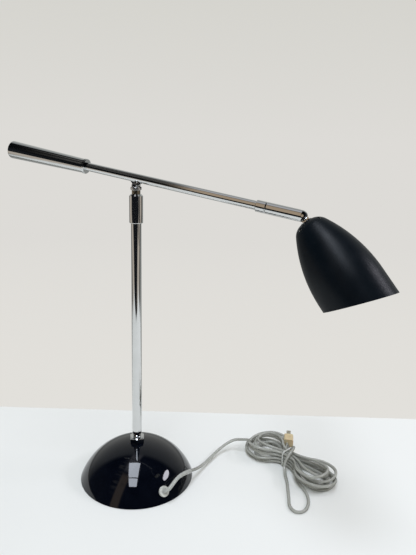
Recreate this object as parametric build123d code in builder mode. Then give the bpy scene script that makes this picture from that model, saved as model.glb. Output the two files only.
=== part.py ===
from build123d import *
import math
import os

# Desk lamp with a counterweighted arm.  Millimetres, +Z up.
# Origin: centre of the base on the table.  +X: the way the arm points to its shade.

# ---- driving dimensions --------------------------------------------------------------
# clearances
RUN = 0.05            # running fit, on the radius
SEAT = 0.02           # fit of two pieces that never move on each other, on the radius
GAP = 0.3             # free gap between pieces

# base
dome_rim_radius = 76.0
dome_height = 51.0
dome_wall = 1.5
dome_rim_lift = 0.6
seat_margin = 0.2
felt_inset = 6.0
felt_thickness = 1.5
plate_inset = 0.8
plate_thickness = 1.2
weight_height = 11.8
weight_hub_radius = 16.0
weight_hub_height = 14.0
weight_hub_taper = 2.0
nut_recess_gap = 1.0
channel_side_gap = 2.9

# threaded nipple, nuts
nipple_radius = 4.75
nipple_bore = 3.0
nipple_foot_gap = 1.0
hex_nut_across_flats = 18.0
hex_nut_height = 8.1
hex_nut_chamfer = 0.9
lock_nut_across_flats = 17.0
lock_nut_height = 4.5
lock_washer_radius = 12.0
lock_washer_thickness = 1.2

# post
post_radius = 6.35
post_wall = 1.0
post_foot_gap = 1.6
post_foot_taper = 7.0
post_foot_lip = 0.45
post_socket = 6.0
post_top = 366.0
sleeve_radius = 8.3
sleeve_overlap = 17.7
sleeve_chamfer = 2.0
sleeve_foot_fillet = 1.0
sleeve_cavity = 5.0

# swivel on top of the post
bush_radius = 5.2
bush_seat = 12.4
bush_stand = 4.7
stem_radius = 4.0
stem_bore = 2.0
stem_foot_gap = 2.2
flange_radius = 6.65
flange_height = 3.6
flange_fillet = 0.5
knuckle_radius = 5.35
ear_radius = 3.2
shoulder_drop = 1.2
lug_radius = 3.1
lug_thickness = 3.4
lug_half_length = 7.0
lug_skirt = 0.2
clip_inset = 0.35
clip_thickness = 1.1
clip_groove_depth = 0.5
tilt_pin_radius = 1.5
tilt_pin_rise = 1.9

# arm, placed along its own axis from the post's axis
arm_droop = 8.35
rod_radius = 5.1
rod_wall = 1.0
rod_clearance = 0.4
weight_inner_end = -73.0
weight_length = 109.6
weight_engagement = 31.0
weight_outer_radius = 11.05
weight_inner_radius = 8.55
weight_rim_fillet = 1.2
collar_width = 3.8
collar_lip = 0.45
collar_groove = 0.5
arm_collar_start = 152.4
arm_collar_length = 11.3
head_sleeve_wall = 1.45
head_sleeve_length = 46.4
head_sleeve_bore = 28.3
head_sleeve_nose = 6.5
collar_chamfer = 0.5
rod_end_gap = 2.5
sleeve_wire_radius = 2.5
retainer_inset = 7.8
retainer_radius = 1.5
retainer_groove = 0.5

# shade joint
head_pin_inset = 5.1
head_pin_radius = 1.5
head_pin_recess = 1.0
head_roll = -13.0
head_tilt = -42.0
tongue_radius = 4.2
tongue_thickness = 3.4
tongue_flange_radius = 6.5
tongue_flange_thickness = 0.8
tongue_wire_radius = 1.4

# shade, measured from its pin along its axis
cap_distance = 7.4
shade_radius = 38.1
shade_shoulder_radius = 19.2
shade_crown_radius = 7.0
shade_wall = 1.2
shoulder_distance = 16.3
full_width_distance = 92.0
mouth_distance = 109.9
mouth_slope = 16.8
crown_swell = (2.2, 6.0)
flank_swell = (25.6, 11.0)
vent_radius = 1.5
vent_inset = 2.8
vent_start = 34.0

# lampholder and bulb, measured from the lampholder's top
holder_stem_radius = 4.8
holder_stem_depth = 9.8
cap_nut_across_flats = 13.0
cap_nut_height = 4.0
holder_wall = 4.0
holder_neck_radius = 8.5
holder_neck_length = 3.8
holder_shoulder_depth = 5.8
holder_cavity_depth = 13.8
holder_length = 36.8
holder_wire_radius = 1.6
shell_floor = 1.4
shell_side = 2.0
shell_inset = 1.5
thread_play = 0.1
bulb_cap_radius = 6.9
bulb_cap_length = 20.0
bulb_cap_wall = 0.6
bulb_contact_radius = 3.0
bulb_contact_height = 2.0
bulb_radius = 17.0
bulb_glass_length = 33.3
bulb_wall = 0.8
bulb_neck_inset = 0.4
bulb_neck_swell = (7.0, 3.6)

# cord, its gland, tie and plug
cord_diameter = 4.2
gland_angle = -32.36
gland_middle = 13.2
gland_radius = 6.8
gland_height = 3.2
gland_fillet = 1.4
gland_shank_radius = 4.6
gland_shank_length = 4.5
relief_root_diameter = 6.6
relief_end_diameter = 5.4
plug_thickness = 14.0
plug_height = 22.0
plug_length = 17.0
plug_fillet = 3.0
plug_entry_lift = 1.0
blade_width = 6.3
blade_thickness = 1.5
blade_length = 15.9
blade_root = 8.0
blade_spacing = 12.7
tie_thickness = 1.2
tie_width = 3.0
tie_slack = 0.4
tie_side_slack = 0.7
tie_corner = 3.0
tie_inner_corner = 1.0

os.makedirs("parts", exist_ok=True)


def save(part, name):
    """Label a finished piece and write it to its own file."""
    part.label = name
    export_step(part, f"parts/{name}.step")


# ---- base ----------------------------------------------------------------------------
# The base is a spherical cap; its sphere follows from the rim and the height.
dome_sphere = (dome_rim_radius**2 + dome_height**2) / (2 * dome_height)
dome_centre = dome_height - dome_sphere
hex_nut_corner = hex_nut_across_flats / math.sqrt(3)
seat_radius = hex_nut_corner + seat_margin
dome_top = dome_centre + math.sqrt(dome_sphere**2 - seat_radius**2)
inner_sphere = dome_sphere - dome_wall
weight_bottom = felt_thickness + plate_thickness
nipple_bottom = weight_bottom + nipple_foot_gap


def radius_at(sphere, height):
    """Radius, at a height, of a sphere about the dome's own centre."""
    return math.sqrt(sphere**2 - (height - dome_centre) ** 2)


gland_reach = radius_at(dome_sphere, gland_middle)
gland_turn = math.radians(gland_angle)
gland_centre = Vector(
    gland_reach * math.cos(gland_turn), gland_reach * math.sin(gland_turn), gland_middle
)
gland_dir = (gland_centre - Vector(0, 0, dome_centre)).normalized()
gland_plane = Plane(origin=gland_centre, z_dir=gland_dir)

with BuildPart() as base_dome:
    with Locations((0, 0, dome_centre)):
        Sphere(dome_sphere)
        Sphere(inner_sphere, mode=Mode.SUBTRACT)
    with Locations((0, 0, dome_top - 2 * dome_wall)):
        Cylinder(seat_radius, 2 * dome_wall, align=(Align.CENTER, Align.CENTER, Align.MIN))
    split(bisect_by=Plane.XY.offset(dome_rim_lift), keep=Keep.TOP)
    split(bisect_by=Plane.XY.offset(dome_top), keep=Keep.BOTTOM)
    with Locations((0, 0, dome_top)):
        Cylinder(nipple_radius + SEAT, 6 * dome_wall, mode=Mode.SUBTRACT)
    with Locations(gland_plane):
        Cylinder(gland_shank_radius + SEAT, 6 * dome_wall, mode=Mode.SUBTRACT)
save(base_dome.part, "base_dome")

# The cast weight fills the foot of the dome and carries a hub for the nipple.
weight_sphere = inner_sphere - GAP
channel_width = 2 * (gland_shank_radius + channel_side_gap)

with BuildPart() as base_weight:
    with Locations((0, 0, dome_centre)):
        Sphere(weight_sphere)
    split(bisect_by=Plane.XY.offset(weight_bottom), keep=Keep.TOP)
    split(bisect_by=Plane.XY.offset(weight_bottom + weight_height), keep=Keep.BOTTOM)
    with Locations((0, 0, weight_bottom + weight_height)):
        Cone(
            weight_hub_radius + weight_hub_taper,
            weight_hub_radius,
            weight_hub_height,
            align=(Align.CENTER, Align.CENTER, Align.MIN),
        )
    with Locations((0, 0, weight_bottom)):
        Cylinder(
            lock_washer_radius + nut_recess_gap,
            lock_nut_height + lock_washer_thickness + nut_recess_gap,
            align=(Align.CENTER, Align.CENTER, Align.MIN),
            mode=Mode.SUBTRACT,
        )
        Cylinder(
            nipple_radius + SEAT, 4 * (weight_height + weight_hub_height), mode=Mode.SUBTRACT
        )
    with Locations(Location((0, 0, weight_bottom), (0, 0, gland_angle))):
        Box(
            dome_rim_radius,
            channel_width,
            2 * (weight_height + nut_recess_gap),
            align=(Align.MIN, Align.CENTER, Align.CENTER),
            mode=Mode.SUBTRACT,
        )
save(base_weight.part, "base_weight")

with BuildPart() as base_plate:
    with BuildSketch(Plane.XY.offset(felt_thickness)):
        Circle(radius_at(inner_sphere, weight_bottom) - plate_inset)
    extrude(amount=plate_thickness)
save(base_plate.part, "base_plate")

with BuildPart() as base_felt:
    with BuildSketch():
        Circle(dome_rim_radius - felt_inset)
    extrude(amount=felt_thickness)
save(base_felt.part, "base_felt")

# Threaded nipple: up through weight, dome and hex nut into the foot of the post.
post_foot = dome_top + hex_nut_height + post_foot_gap

with BuildPart() as base_nipple:
    with BuildSketch(Plane.XY.offset(nipple_bottom)):
        Circle(nipple_radius)
        Circle(nipple_bore, mode=Mode.SUBTRACT)
    extrude(amount=post_foot + post_socket - nipple_bottom)
save(base_nipple.part, "base_nipple")

hub_seat = weight_bottom + lock_nut_height + lock_washer_thickness + nut_recess_gap

with BuildPart() as base_lock_washer:
    with BuildSketch(Plane.XY.offset(hub_seat - lock_washer_thickness)):
        Circle(lock_washer_radius)
        Circle(nipple_radius + RUN, mode=Mode.SUBTRACT)
    extrude(amount=lock_washer_thickness)
save(base_lock_washer.part, "base_lock_washer")

with BuildPart() as base_lock_nut:
    with BuildSketch(Plane.XY.offset(hub_seat - lock_washer_thickness - lock_nut_height)):
        RegularPolygon(lock_nut_across_flats / 2, 6, major_radius=False)
        Circle(nipple_radius + SEAT, mode=Mode.SUBTRACT)
    extrude(amount=lock_nut_height)
save(base_lock_nut.part, "base_lock_nut")

# The hex nut's corners are turned off at both ends by a cone.
nut_top = dome_top + hex_nut_height
nut_face_radius = hex_nut_corner - 2 * hex_nut_chamfer

with BuildPart() as base_hex_nut:
    with BuildSketch(Plane.XY.offset(dome_top)):
        RegularPolygon(hex_nut_across_flats / 2, 6, major_radius=False)
    extrude(amount=hex_nut_height)
    with BuildSketch(Plane.XZ):
        with BuildLine():
            Polyline(
                (0, dome_top),
                (nut_face_radius, dome_top),
                (seat_radius, dome_top + hex_nut_chamfer),
                (seat_radius, nut_top - hex_nut_chamfer),
                (nut_face_radius, nut_top),
                (0, nut_top),
                close=True,
            )
        make_face()
    revolve(axis=Axis.Z, mode=Mode.INTERSECT)
    with Locations((0, 0, dome_top)):
        Cylinder(nipple_radius + SEAT, 4 * hex_nut_height, mode=Mode.SUBTRACT)
save(base_hex_nut.part, "base_hex_nut")

# ---- post ----------------------------------------------------------------------------
# Its foot tapers to the nipple's socket, and the bore steps out above it.
socket_end = post_foot + post_socket + nut_recess_gap

with BuildPart() as post_tube:
    with BuildSketch(Plane.XZ):
        with BuildLine():
            Polyline(
                (nipple_radius + SEAT, post_foot),
                (nipple_radius + post_foot_lip, post_foot),
                (post_radius, post_foot + post_foot_taper),
                (post_radius, post_top),
                (post_radius - post_wall, post_top),
                (post_radius - post_wall, socket_end + nipple_bore),
                (nipple_radius + SEAT, socket_end),
                close=True,
            )
        make_face()
    revolve(axis=Axis.Z)
save(post_tube.part, "post_tube")

sleeve_bottom = post_top - sleeve_overlap
bush_bottom = post_top + sleeve_cavity
sleeve_top = bush_bottom + bush_seat

with BuildPart() as post_sleeve:
    with BuildSketch(Plane.XY.offset(sleeve_bottom)):
        Circle(sleeve_radius)
    extrude(amount=sleeve_top - sleeve_bottom)
    chamfer(post_sleeve.edges().group_by(Axis.Z)[-1], sleeve_chamfer)
    fillet(post_sleeve.edges().group_by(Axis.Z)[0], sleeve_foot_fillet)
    with BuildSketch(Plane.XY.offset(sleeve_bottom)):
        Circle(post_radius + SEAT)
    extrude(amount=bush_bottom - sleeve_bottom, mode=Mode.SUBTRACT)
    with BuildSketch(Plane.XY.offset(bush_bottom)):
        Circle(bush_radius + SEAT)
    extrude(amount=sleeve_top - bush_bottom, mode=Mode.SUBTRACT)
save(post_sleeve.part, "post_sleeve")

bush_length = bush_seat + bush_stand
bush_top = bush_bottom + bush_length

with BuildPart() as swivel_bush:
    with BuildSketch(Plane.XY.offset(bush_bottom)):
        Circle(bush_radius)
        Circle(stem_radius + RUN, mode=Mode.SUBTRACT)
    extrude(amount=bush_length)
save(swivel_bush.part, "swivel_bush")

# ---- swivel: stem, flange and forked knuckle that carries the arm ---------------------
flange_bottom = bush_top + GAP
flange_top = flange_bottom + flange_height
tilt_pin_height = flange_top + tilt_pin_rise
clip_top = bush_bottom - GAP
clip_seat_radius = stem_radius - clip_groove_depth
stem_bottom = post_top + stem_foot_gap
slot_width = lug_thickness + 2 * GAP
slot_bottom = tilt_pin_height - lug_radius - GAP
shoulder_size = 3 * knuckle_radius

with BuildPart() as swivel_fork:
    with BuildSketch(Plane.XY.offset(stem_bottom)):
        Circle(stem_radius)
    extrude(amount=flange_bottom - stem_bottom)
    with BuildSketch(Plane.XY.offset(flange_bottom)):
        Circle(flange_radius)
    extrude(amount=flange_height)
    flange_rims = swivel_fork.edges().filter_by(GeomType.CIRCLE).sort_by(SortBy.RADIUS)[-2:]
    fillet(flange_rims, flange_fillet)
    with BuildSketch(Plane.XY.offset(flange_top)):
        Circle(knuckle_radius)
    extrude(amount=tilt_pin_height - flange_top)
    with BuildSketch(Plane.XZ.offset(-knuckle_radius)):
        with Locations((0, tilt_pin_height)):
            Circle(ear_radius)
    extrude(amount=2 * knuckle_radius)
    # shoulders fall away from the ears so that the tilting rod clears them
    with BuildSketch(Plane.XZ.offset(-flange_radius)):
        with Locations((0, tilt_pin_height)):
            for side in (-1, 1):
                corner = (side * (ear_radius + shoulder_size / 2), shoulder_size / 2 - shoulder_drop)
                with Locations(corner):
                    Rectangle(shoulder_size, shoulder_size)
    extrude(amount=2 * flange_radius, mode=Mode.SUBTRACT)
    with BuildSketch(Plane.XZ.offset(-slot_width / 2)):
        with Locations((0, slot_bottom)):
            Rectangle(3 * knuckle_radius, 3 * knuckle_radius, align=(Align.CENTER, Align.MIN))
    extrude(amount=slot_width, mode=Mode.SUBTRACT)
    with BuildSketch(Plane.XZ.offset(-2 * knuckle_radius)):
        with Locations((0, tilt_pin_height)):
            Circle(tilt_pin_radius + SEAT)
    extrude(amount=4 * knuckle_radius, mode=Mode.SUBTRACT)
    with BuildSketch(Plane.XY.offset(stem_bottom)):
        Circle(stem_bore)
    extrude(amount=slot_bottom - stem_bottom, mode=Mode.SUBTRACT)
    with BuildSketch(Plane.XY.offset(clip_top - clip_thickness)):
        Circle(2 * stem_radius)
        Circle(clip_seat_radius, mode=Mode.SUBTRACT)
    extrude(amount=clip_thickness, mode=Mode.SUBTRACT)
save(swivel_fork.part, "swivel_fork")

with BuildPart() as swivel_clip:
    with BuildSketch(Plane.XY.offset(clip_top - clip_thickness + SEAT)):
        Circle(post_radius - clip_inset)
        Circle(clip_seat_radius + SEAT, mode=Mode.SUBTRACT)
    extrude(amount=clip_thickness - 2 * SEAT)
save(swivel_clip.part, "swivel_clip")

with BuildPart() as tilt_pin:
    with BuildSketch(Plane.XZ.offset(-knuckle_radius + GAP)):
        with Locations((0, tilt_pin_height)):
            Circle(tilt_pin_radius)
    extrude(amount=2 * knuckle_radius - 2 * GAP)
save(tilt_pin.part, "tilt_pin")

# ---- arm -----------------------------------------------------------------------------
# arm_side: local x runs along the arm to the shade, local y points up from it.
droop = math.radians(arm_droop)
pin_drop = ear_radius + rod_clearance + rod_radius
arm_origin = Vector(0, 0, tilt_pin_height + pin_drop)
arm_dir = Vector(math.cos(droop), 0, -math.sin(droop))
arm_side = Plane(origin=arm_origin, x_dir=arm_dir, z_dir=(0, -1, 0))
arm_axis = Axis(arm_origin, arm_dir)


def along_arm(place):
    """Plane square to the arm at a distance from the post's axis."""
    return Plane(origin=arm_origin + arm_dir * place, x_dir=(0, 1, 0), z_dir=arm_dir)


collar_end = weight_inner_end + collar_width
weight_outer_end = weight_inner_end - weight_length
rod_back = weight_inner_end - weight_engagement
head_sleeve_start = arm_collar_start + arm_collar_length + collar_chamfer
head_sleeve_end = head_sleeve_start + head_sleeve_length
bore_end = head_sleeve_start + head_sleeve_bore
rod_front = bore_end - rod_end_gap
retainer_place = head_sleeve_start + retainer_inset
head_sleeve_radius = rod_radius + head_sleeve_wall

with BuildPart() as arm_rod:
    with BuildSketch(along_arm(rod_back)):
        Circle(rod_radius)
        Circle(rod_radius - rod_wall, mode=Mode.SUBTRACT)
    extrude(amount=rod_front - rod_back)
    with BuildSketch(along_arm(retainer_place - retainer_radius - RUN)):
        Circle(2 * rod_radius)
        Circle(rod_radius - retainer_groove, mode=Mode.SUBTRACT)
    extrude(amount=2 * (retainer_radius + RUN), mode=Mode.SUBTRACT)
save(arm_rod.part, "arm_rod")

# The lug is brazed under the rod and turns on the tilt pin between the fork's ears.
lug_place = pin_drop * math.sin(droop)
lug_depth = pin_drop * math.cos(droop)
lug_neck = lug_depth - rod_clearance
lug_edge = rod_radius + lug_skirt

with BuildPart() as arm_lug:
    with BuildSketch(arm_side.offset(-lug_thickness / 2)):
        with BuildLine():
            Polyline(
                (lug_place - lug_half_length, 0),
                (lug_place - lug_half_length, -lug_edge),
                (lug_place - lug_radius, -lug_neck),
                (lug_place - lug_radius, -lug_depth),
                (lug_place + lug_radius, -lug_depth),
                (lug_place + lug_radius, -lug_neck),
                (lug_place + lug_half_length, -lug_edge),
                (lug_place + lug_half_length, 0),
                close=True,
            )
        make_face()
        with Locations((lug_place, -lug_depth)):
            Circle(lug_radius)
            Circle(tilt_pin_radius + RUN, mode=Mode.SUBTRACT)
    extrude(amount=lug_thickness)
    with BuildSketch(along_arm(rod_back)):
        Circle(rod_radius + SEAT)
    extrude(amount=rod_front - rod_back, mode=Mode.SUBTRACT)
save(arm_lug.part, "arm_lug")

with BuildPart() as counterweight:
    with BuildSketch(arm_side):
        with BuildLine():
            Polyline(
                (weight_outer_end, 0),
                (weight_outer_end, weight_outer_radius),
                (weight_inner_end, weight_inner_radius),
                (weight_inner_end, rod_radius + SEAT),
                (rod_back, rod_radius + SEAT),
                (rod_back, 0),
                close=True,
            )
        make_face()
    revolve(axis=arm_axis)
    outer_rim = counterweight.edges().filter_by(GeomType.CIRCLE).sort_by(SortBy.RADIUS)[-1]
    fillet(outer_rim, weight_rim_fillet)
save(counterweight.part, "counterweight")

# The collar behind the weight carries a fine turned groove.
collar_mid = weight_inner_end + collar_width / 2
collar_radius = weight_inner_radius + collar_lip

with BuildPart() as weight_collar:
    with BuildSketch(arm_side):
        with BuildLine():
            Polyline(
                (weight_inner_end, rod_radius + SEAT),
                (weight_inner_end, collar_radius),
                (collar_mid - collar_groove, collar_radius),
                (collar_mid, collar_radius - collar_groove),
                (collar_mid + collar_groove, collar_radius),
                (collar_end - collar_groove, collar_radius),
                (collar_end, collar_radius - collar_groove),
                (collar_end, rod_radius + SEAT),
                close=True,
            )
        make_face()
    revolve(axis=arm_axis)
save(weight_collar.part, "weight_collar")

with BuildPart() as arm_collar:
    with BuildSketch(along_arm(arm_collar_start)):
        Circle(head_sleeve_radius)
        Circle(rod_radius + SEAT, mode=Mode.SUBTRACT)
    extrude(amount=arm_collar_length)
    outer_edges = arm_collar.edges().filter_by(GeomType.CIRCLE).sort_by(SortBy.RADIUS)[-2:]
    chamfer(outer_edges, collar_chamfer)
save(arm_collar.part, "arm_collar")

# ---- head sleeve: turns on the arm and ends in a fork ---------------------------------
# head_side: local x runs along the shade's axis, local y to the shade's long side.
hinge_dir = Vector(0, -1, 0).rotate(Axis((0, 0, 0), arm_dir), head_roll)
head_pin = arm_origin + arm_dir * (head_sleeve_end - head_pin_inset)
shade_dir = arm_dir.rotate(Axis((0, 0, 0), hinge_dir), head_tilt)
fork_side = Plane(origin=head_pin, x_dir=arm_dir, z_dir=hinge_dir)
head_side = Plane(origin=head_pin, x_dir=shade_dir, z_dir=hinge_dir)
head_axis = Axis(head_pin, shade_dir)
retainer_plane = Plane(origin=arm_origin + arm_dir * retainer_place, z_dir=-hinge_dir)
fork_slot = tongue_thickness + 2 * GAP
nose_start = head_sleeve_end - head_sleeve_nose

with BuildPart() as head_sleeve:
    with BuildSketch(arm_side):
        with BuildLine():
            Polyline(
                (head_sleeve_end, 0),
                (head_sleeve_start, 0),
                (head_sleeve_start, head_sleeve_radius - collar_chamfer),
                (head_sleeve_start + collar_chamfer, head_sleeve_radius),
                (nose_start, head_sleeve_radius),
            )
            EllipticalCenterArc(
                (nose_start, 0),
                head_sleeve_nose,
                head_sleeve_radius,
                start_angle=0,
                arc_size=90,
            )
        make_face()
    revolve(axis=arm_axis)
    with BuildSketch(along_arm(head_sleeve_start)):
        Circle(rod_radius + RUN)
    extrude(amount=head_sleeve_bore, mode=Mode.SUBTRACT)
    with BuildSketch(along_arm(bore_end)):
        Circle(sleeve_wire_radius)
    extrude(amount=head_sleeve_end - bore_end, mode=Mode.SUBTRACT)
    with BuildSketch(fork_side.offset(-fork_slot / 2)):
        with Locations((-tongue_radius - GAP, 0)):
            Rectangle(
                3 * head_sleeve_radius, 3 * head_sleeve_radius, align=(Align.MIN, Align.CENTER)
            )
    extrude(amount=fork_slot, mode=Mode.SUBTRACT)
    with BuildSketch(fork_side.offset(-2 * head_sleeve_radius)):
        Circle(head_pin_radius + SEAT)
    extrude(amount=4 * head_sleeve_radius, mode=Mode.SUBTRACT)
    with BuildSketch(retainer_plane):
        Circle(retainer_radius + SEAT)
    extrude(amount=2 * head_sleeve_radius, mode=Mode.SUBTRACT)
save(head_sleeve.part, "head_sleeve")

# A grub screw on the far side runs in the rod's groove and keeps the sleeve on the arm.
with BuildPart() as head_retainer:
    with BuildSketch(retainer_plane.offset(rod_radius - retainer_groove + RUN)):
        Circle(retainer_radius)
    extrude(amount=head_sleeve_wall + retainer_groove - RUN - GAP)
save(head_retainer.part, "head_retainer")

pin_reach = math.sqrt(head_sleeve_radius**2 - head_pin_radius**2) - head_pin_recess

with BuildPart() as shade_pin:
    with BuildSketch(fork_side.offset(-pin_reach)):
        Circle(head_pin_radius)
    extrude(amount=2 * pin_reach)
save(shade_pin.part, "shade_pin")

# ---- shade and what it holds ----------------------------------------------------------


def along_shade(distance):
    """Plane square to the shade's axis at a distance from its pin."""
    return Plane(origin=head_pin + shade_dir * distance, x_dir=head_side.y_dir, z_dir=shade_dir)


nut_seat = cap_distance + shade_wall + GAP
holder_top = nut_seat + cap_nut_height + GAP
stem_end = holder_top + holder_stem_depth

with BuildPart() as shade_tongue:
    with BuildSketch(head_side.offset(-tongue_thickness / 2)):
        Circle(tongue_radius)
        Rectangle(
            cap_distance - tongue_flange_thickness,
            2 * tongue_radius,
            align=(Align.MIN, Align.CENTER),
        )
        Circle(head_pin_radius + RUN, mode=Mode.SUBTRACT)
    extrude(amount=tongue_thickness)
    with BuildSketch(along_shade(cap_distance - tongue_flange_thickness)):
        Circle(tongue_flange_radius)
    extrude(amount=tongue_flange_thickness)
    with BuildSketch(along_shade(cap_distance)):
        Circle(holder_stem_radius)
    extrude(amount=stem_end - cap_distance)
    with BuildSketch(along_shade(cap_distance - tongue_flange_thickness - tongue_wire_radius)):
        Circle(tongue_wire_radius)
    extrude(amount=stem_end, mode=Mode.SUBTRACT)
save(shade_tongue.part, "shade_tongue")

mouth_plane = Plane(
    origin=head_pin + shade_dir * mouth_distance,
    z_dir=shade_dir.rotate(Axis((0, 0, 0), hinge_dir), -mouth_slope),
)

def inside(edge, share):
    """Point one wall inside the shade's outline, at a share of an edge of it."""
    way = edge % share
    return edge @ share + Vector(way.Y, -way.X) * shade_wall


with BuildPart() as shade:
    with BuildSketch(head_side):
        with BuildLine():
            crown = Line((cap_distance, 0), (cap_distance, shade_crown_radius))
            shoulder = ThreePointArc(
                crown @ 1,
                (cap_distance + crown_swell[0], shade_crown_radius + crown_swell[1]),
                (shoulder_distance, shade_shoulder_radius),
            )
            flank = ThreePointArc(
                shoulder @ 1,
                (shoulder_distance + flank_swell[0], shade_shoulder_radius + flank_swell[1]),
                (full_width_distance, shade_radius),
            )
            rim = Line(flank @ 1, (mouth_distance + shade_radius, shade_radius))
            lip = Line(rim @ 1, (mouth_distance + shade_radius, shade_radius - shade_wall))
            rim_inside = Line(lip @ 1, inside(flank, 1))
            flank_inside = ThreePointArc(rim_inside @ 1, inside(flank, 0.5), inside(shoulder, 1))
            shoulder_inside = ThreePointArc(
                flank_inside @ 1,
                inside(shoulder, 0.5),
                (cap_distance + shade_wall, shade_crown_radius),
            )
            crown_inside = Line(shoulder_inside @ 1, (cap_distance + shade_wall, 0))
            Line(crown_inside @ 1, crown @ 0)
        make_face()
    revolve(axis=head_axis)
    split(bisect_by=mouth_plane, keep=Keep.BOTTOM)
    with BuildSketch(along_shade(cap_distance)):
        Circle(holder_stem_radius + SEAT)
        with PolarLocations(shade_shoulder_radius - vent_inset, 4, start_angle=vent_start):
            Circle(vent_radius)
    extrude(amount=shoulder_distance + shade_wall, mode=Mode.SUBTRACT)
save(shade.part, "shade")

with BuildPart() as shade_nut:
    with BuildSketch(along_shade(nut_seat)):
        RegularPolygon(cap_nut_across_flats / 2, 6, major_radius=False)
        Circle(holder_stem_radius + SEAT, mode=Mode.SUBTRACT)
    extrude(amount=cap_nut_height)
save(shade_nut.part, "shade_nut")

holder_shoulder = holder_top + holder_shoulder_depth
holder_bottom = holder_top + holder_length
cavity_top = holder_top + holder_cavity_depth
cavity_radius = bulb_cap_radius + thread_play + shell_side
holder_radius = cavity_radius + holder_wall

with BuildPart() as lampholder:
    with BuildSketch(head_side):
        with BuildLine():
            Polyline(
                (holder_top, holder_stem_radius + SEAT),
                (holder_top, holder_neck_radius),
                (holder_top + holder_neck_length, holder_neck_radius),
                (holder_shoulder, holder_radius),
                (holder_bottom, holder_radius),
                (holder_bottom, cavity_radius),
                (cavity_top, cavity_radius),
                (cavity_top, holder_wire_radius),
                (stem_end + GAP, holder_wire_radius),
                (stem_end + GAP, holder_stem_radius + SEAT),
                close=True,
            )
        make_face()
    revolve(axis=head_axis)
save(lampholder.part, "lampholder")

with BuildPart() as holder_shell:
    with BuildSketch(along_shade(cavity_top)):
        Circle(cavity_radius - SEAT)
        Circle(holder_wire_radius, mode=Mode.SUBTRACT)
    extrude(amount=shell_floor)
    with BuildSketch(along_shade(cavity_top + shell_floor)):
        Circle(cavity_radius - SEAT)
        Circle(bulb_cap_radius + thread_play, mode=Mode.SUBTRACT)
    extrude(amount=holder_bottom - cavity_top - shell_floor - shell_inset)
save(holder_shell.part, "holder_shell")

bulb_cap_top = cavity_top + shell_floor + GAP
bulb_cap_end = bulb_cap_top + bulb_cap_length + bulb_contact_height

with BuildPart() as bulb_cap:
    with BuildSketch(along_shade(bulb_cap_top)):
        Circle(bulb_contact_radius)
    extrude(amount=bulb_contact_height)
    with BuildSketch(along_shade(bulb_cap_top + bulb_contact_height)):
        Circle(bulb_cap_radius)
    extrude(amount=bulb_cap_length)
    with BuildSketch(along_shade(bulb_cap_end - bulb_cap_length + bulb_contact_height)):
        Circle(bulb_cap_radius - bulb_cap_wall)
    extrude(amount=bulb_cap_length, mode=Mode.SUBTRACT)
save(bulb_cap.part, "bulb_cap")

diagonal = math.sqrt(0.5)
bulb_tip = bulb_cap_end + bulb_glass_length

with BuildPart() as bulb_glass:
    with BuildSketch(head_side):
        with BuildLine():
            neck = ThreePointArc(
                (bulb_cap_end, bulb_cap_radius - bulb_neck_inset),
                (bulb_cap_end + bulb_neck_swell[0], bulb_cap_radius + bulb_neck_swell[1]),
                (bulb_tip - bulb_radius, bulb_radius),
            )
            ThreePointArc(
                neck @ 1,
                (bulb_tip - bulb_radius * (1 - diagonal), bulb_radius * diagonal),
                (bulb_tip, 0),
            )
            offset(amount=bulb_wall, side=Side.RIGHT)
        make_face()
    revolve(axis=head_axis)
save(bulb_glass.part, "bulb_glass")

# ---- gland and strain relief ----------------------------------------------------------
with BuildPart() as cord_gland:
    with BuildSketch(gland_plane.offset(SEAT)):
        Circle(gland_radius)
    extrude(amount=gland_height - SEAT)
    face_rim = cord_gland.edges().filter_by(GeomType.CIRCLE).sort_by(Axis(gland_centre, gland_dir))[-1]
    fillet(face_rim, gland_fillet)
    with BuildSketch(gland_plane.offset(-gland_shank_length)):
        Circle(gland_shank_radius)
    extrude(amount=gland_shank_length + gland_height / 2)
save(cord_gland.part, "cord_gland")

# The relief sleeve leaves the gland square, then bends round the side of the dome.
relief_first_run = 7.8
relief_route = [
    gland_centre + gland_dir * gland_height,
    gland_centre + gland_dir * (gland_height + relief_first_run),
    Vector(69.4, -33.0, 24.8),
    Vector(70.8, -20.5, 27.0),
    Vector(73.6, -6.0, 24.6),
    Vector(75.6, 11.7, 17.9),
]

# The lead runs straight on from the sleeve, sags beside the dome and rises to the hank.
lead_first_run = 26.0
relief_end_dir = (relief_route[-1] - relief_route[-2]).normalized()
lead_route = [
    relief_route[-1],
    relief_route[-1] + relief_end_dir * lead_first_run,
    Vector(81.2, 62.5, 6.2),
    Vector(86.0, 86.5, 8.0),
    Vector(93.0, 102.0, 12.0),
    Vector(103.0, 110.2, 17.2),
    Vector(115.6, 110.65, 20.0),
]


def corner_radii(points):
    """Largest arc that the two runs at each corner allow, with a little straight left."""
    radii = []
    for before, corner, after in zip(points, points[1:], points[2:]):
        run_in = corner - before
        run_out = after - corner
        half_turn = math.radians(run_in.get_angle(run_out)) / 2
        radii.append(0.45 * min(run_in.length, run_out.length) / math.tan(half_turn))
    return radii


def report_tube(name, part, path_length, diameter, radii):
    """Print a tube's radii and compare its volume with its section times its length."""
    section = math.pi * diameter**2 / 4
    print(name, "radii", [round(r, 1) for r in radii], "length", round(path_length, 1))
    print(name, "volume over section times length", round(part.volume / section / path_length, 4))


lead_radii = corner_radii(lead_route)

with BuildPart() as cord_lead:
    with BuildLine() as lead_path:
        FilletPolyline(*lead_route, radius=lead_radii)
    with BuildSketch(Plane(origin=lead_route[0], z_dir=lead_route[1] - lead_route[0])):
        Circle(cord_diameter / 2)
    sweep()
lead_length = sum(edge.length for edge in lead_path.edges())
report_tube("lead", cord_lead.part, lead_length, cord_diameter, lead_radii)
save(cord_lead.part, "cord_lead")

relief_radii = corner_radii(relief_route)

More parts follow.
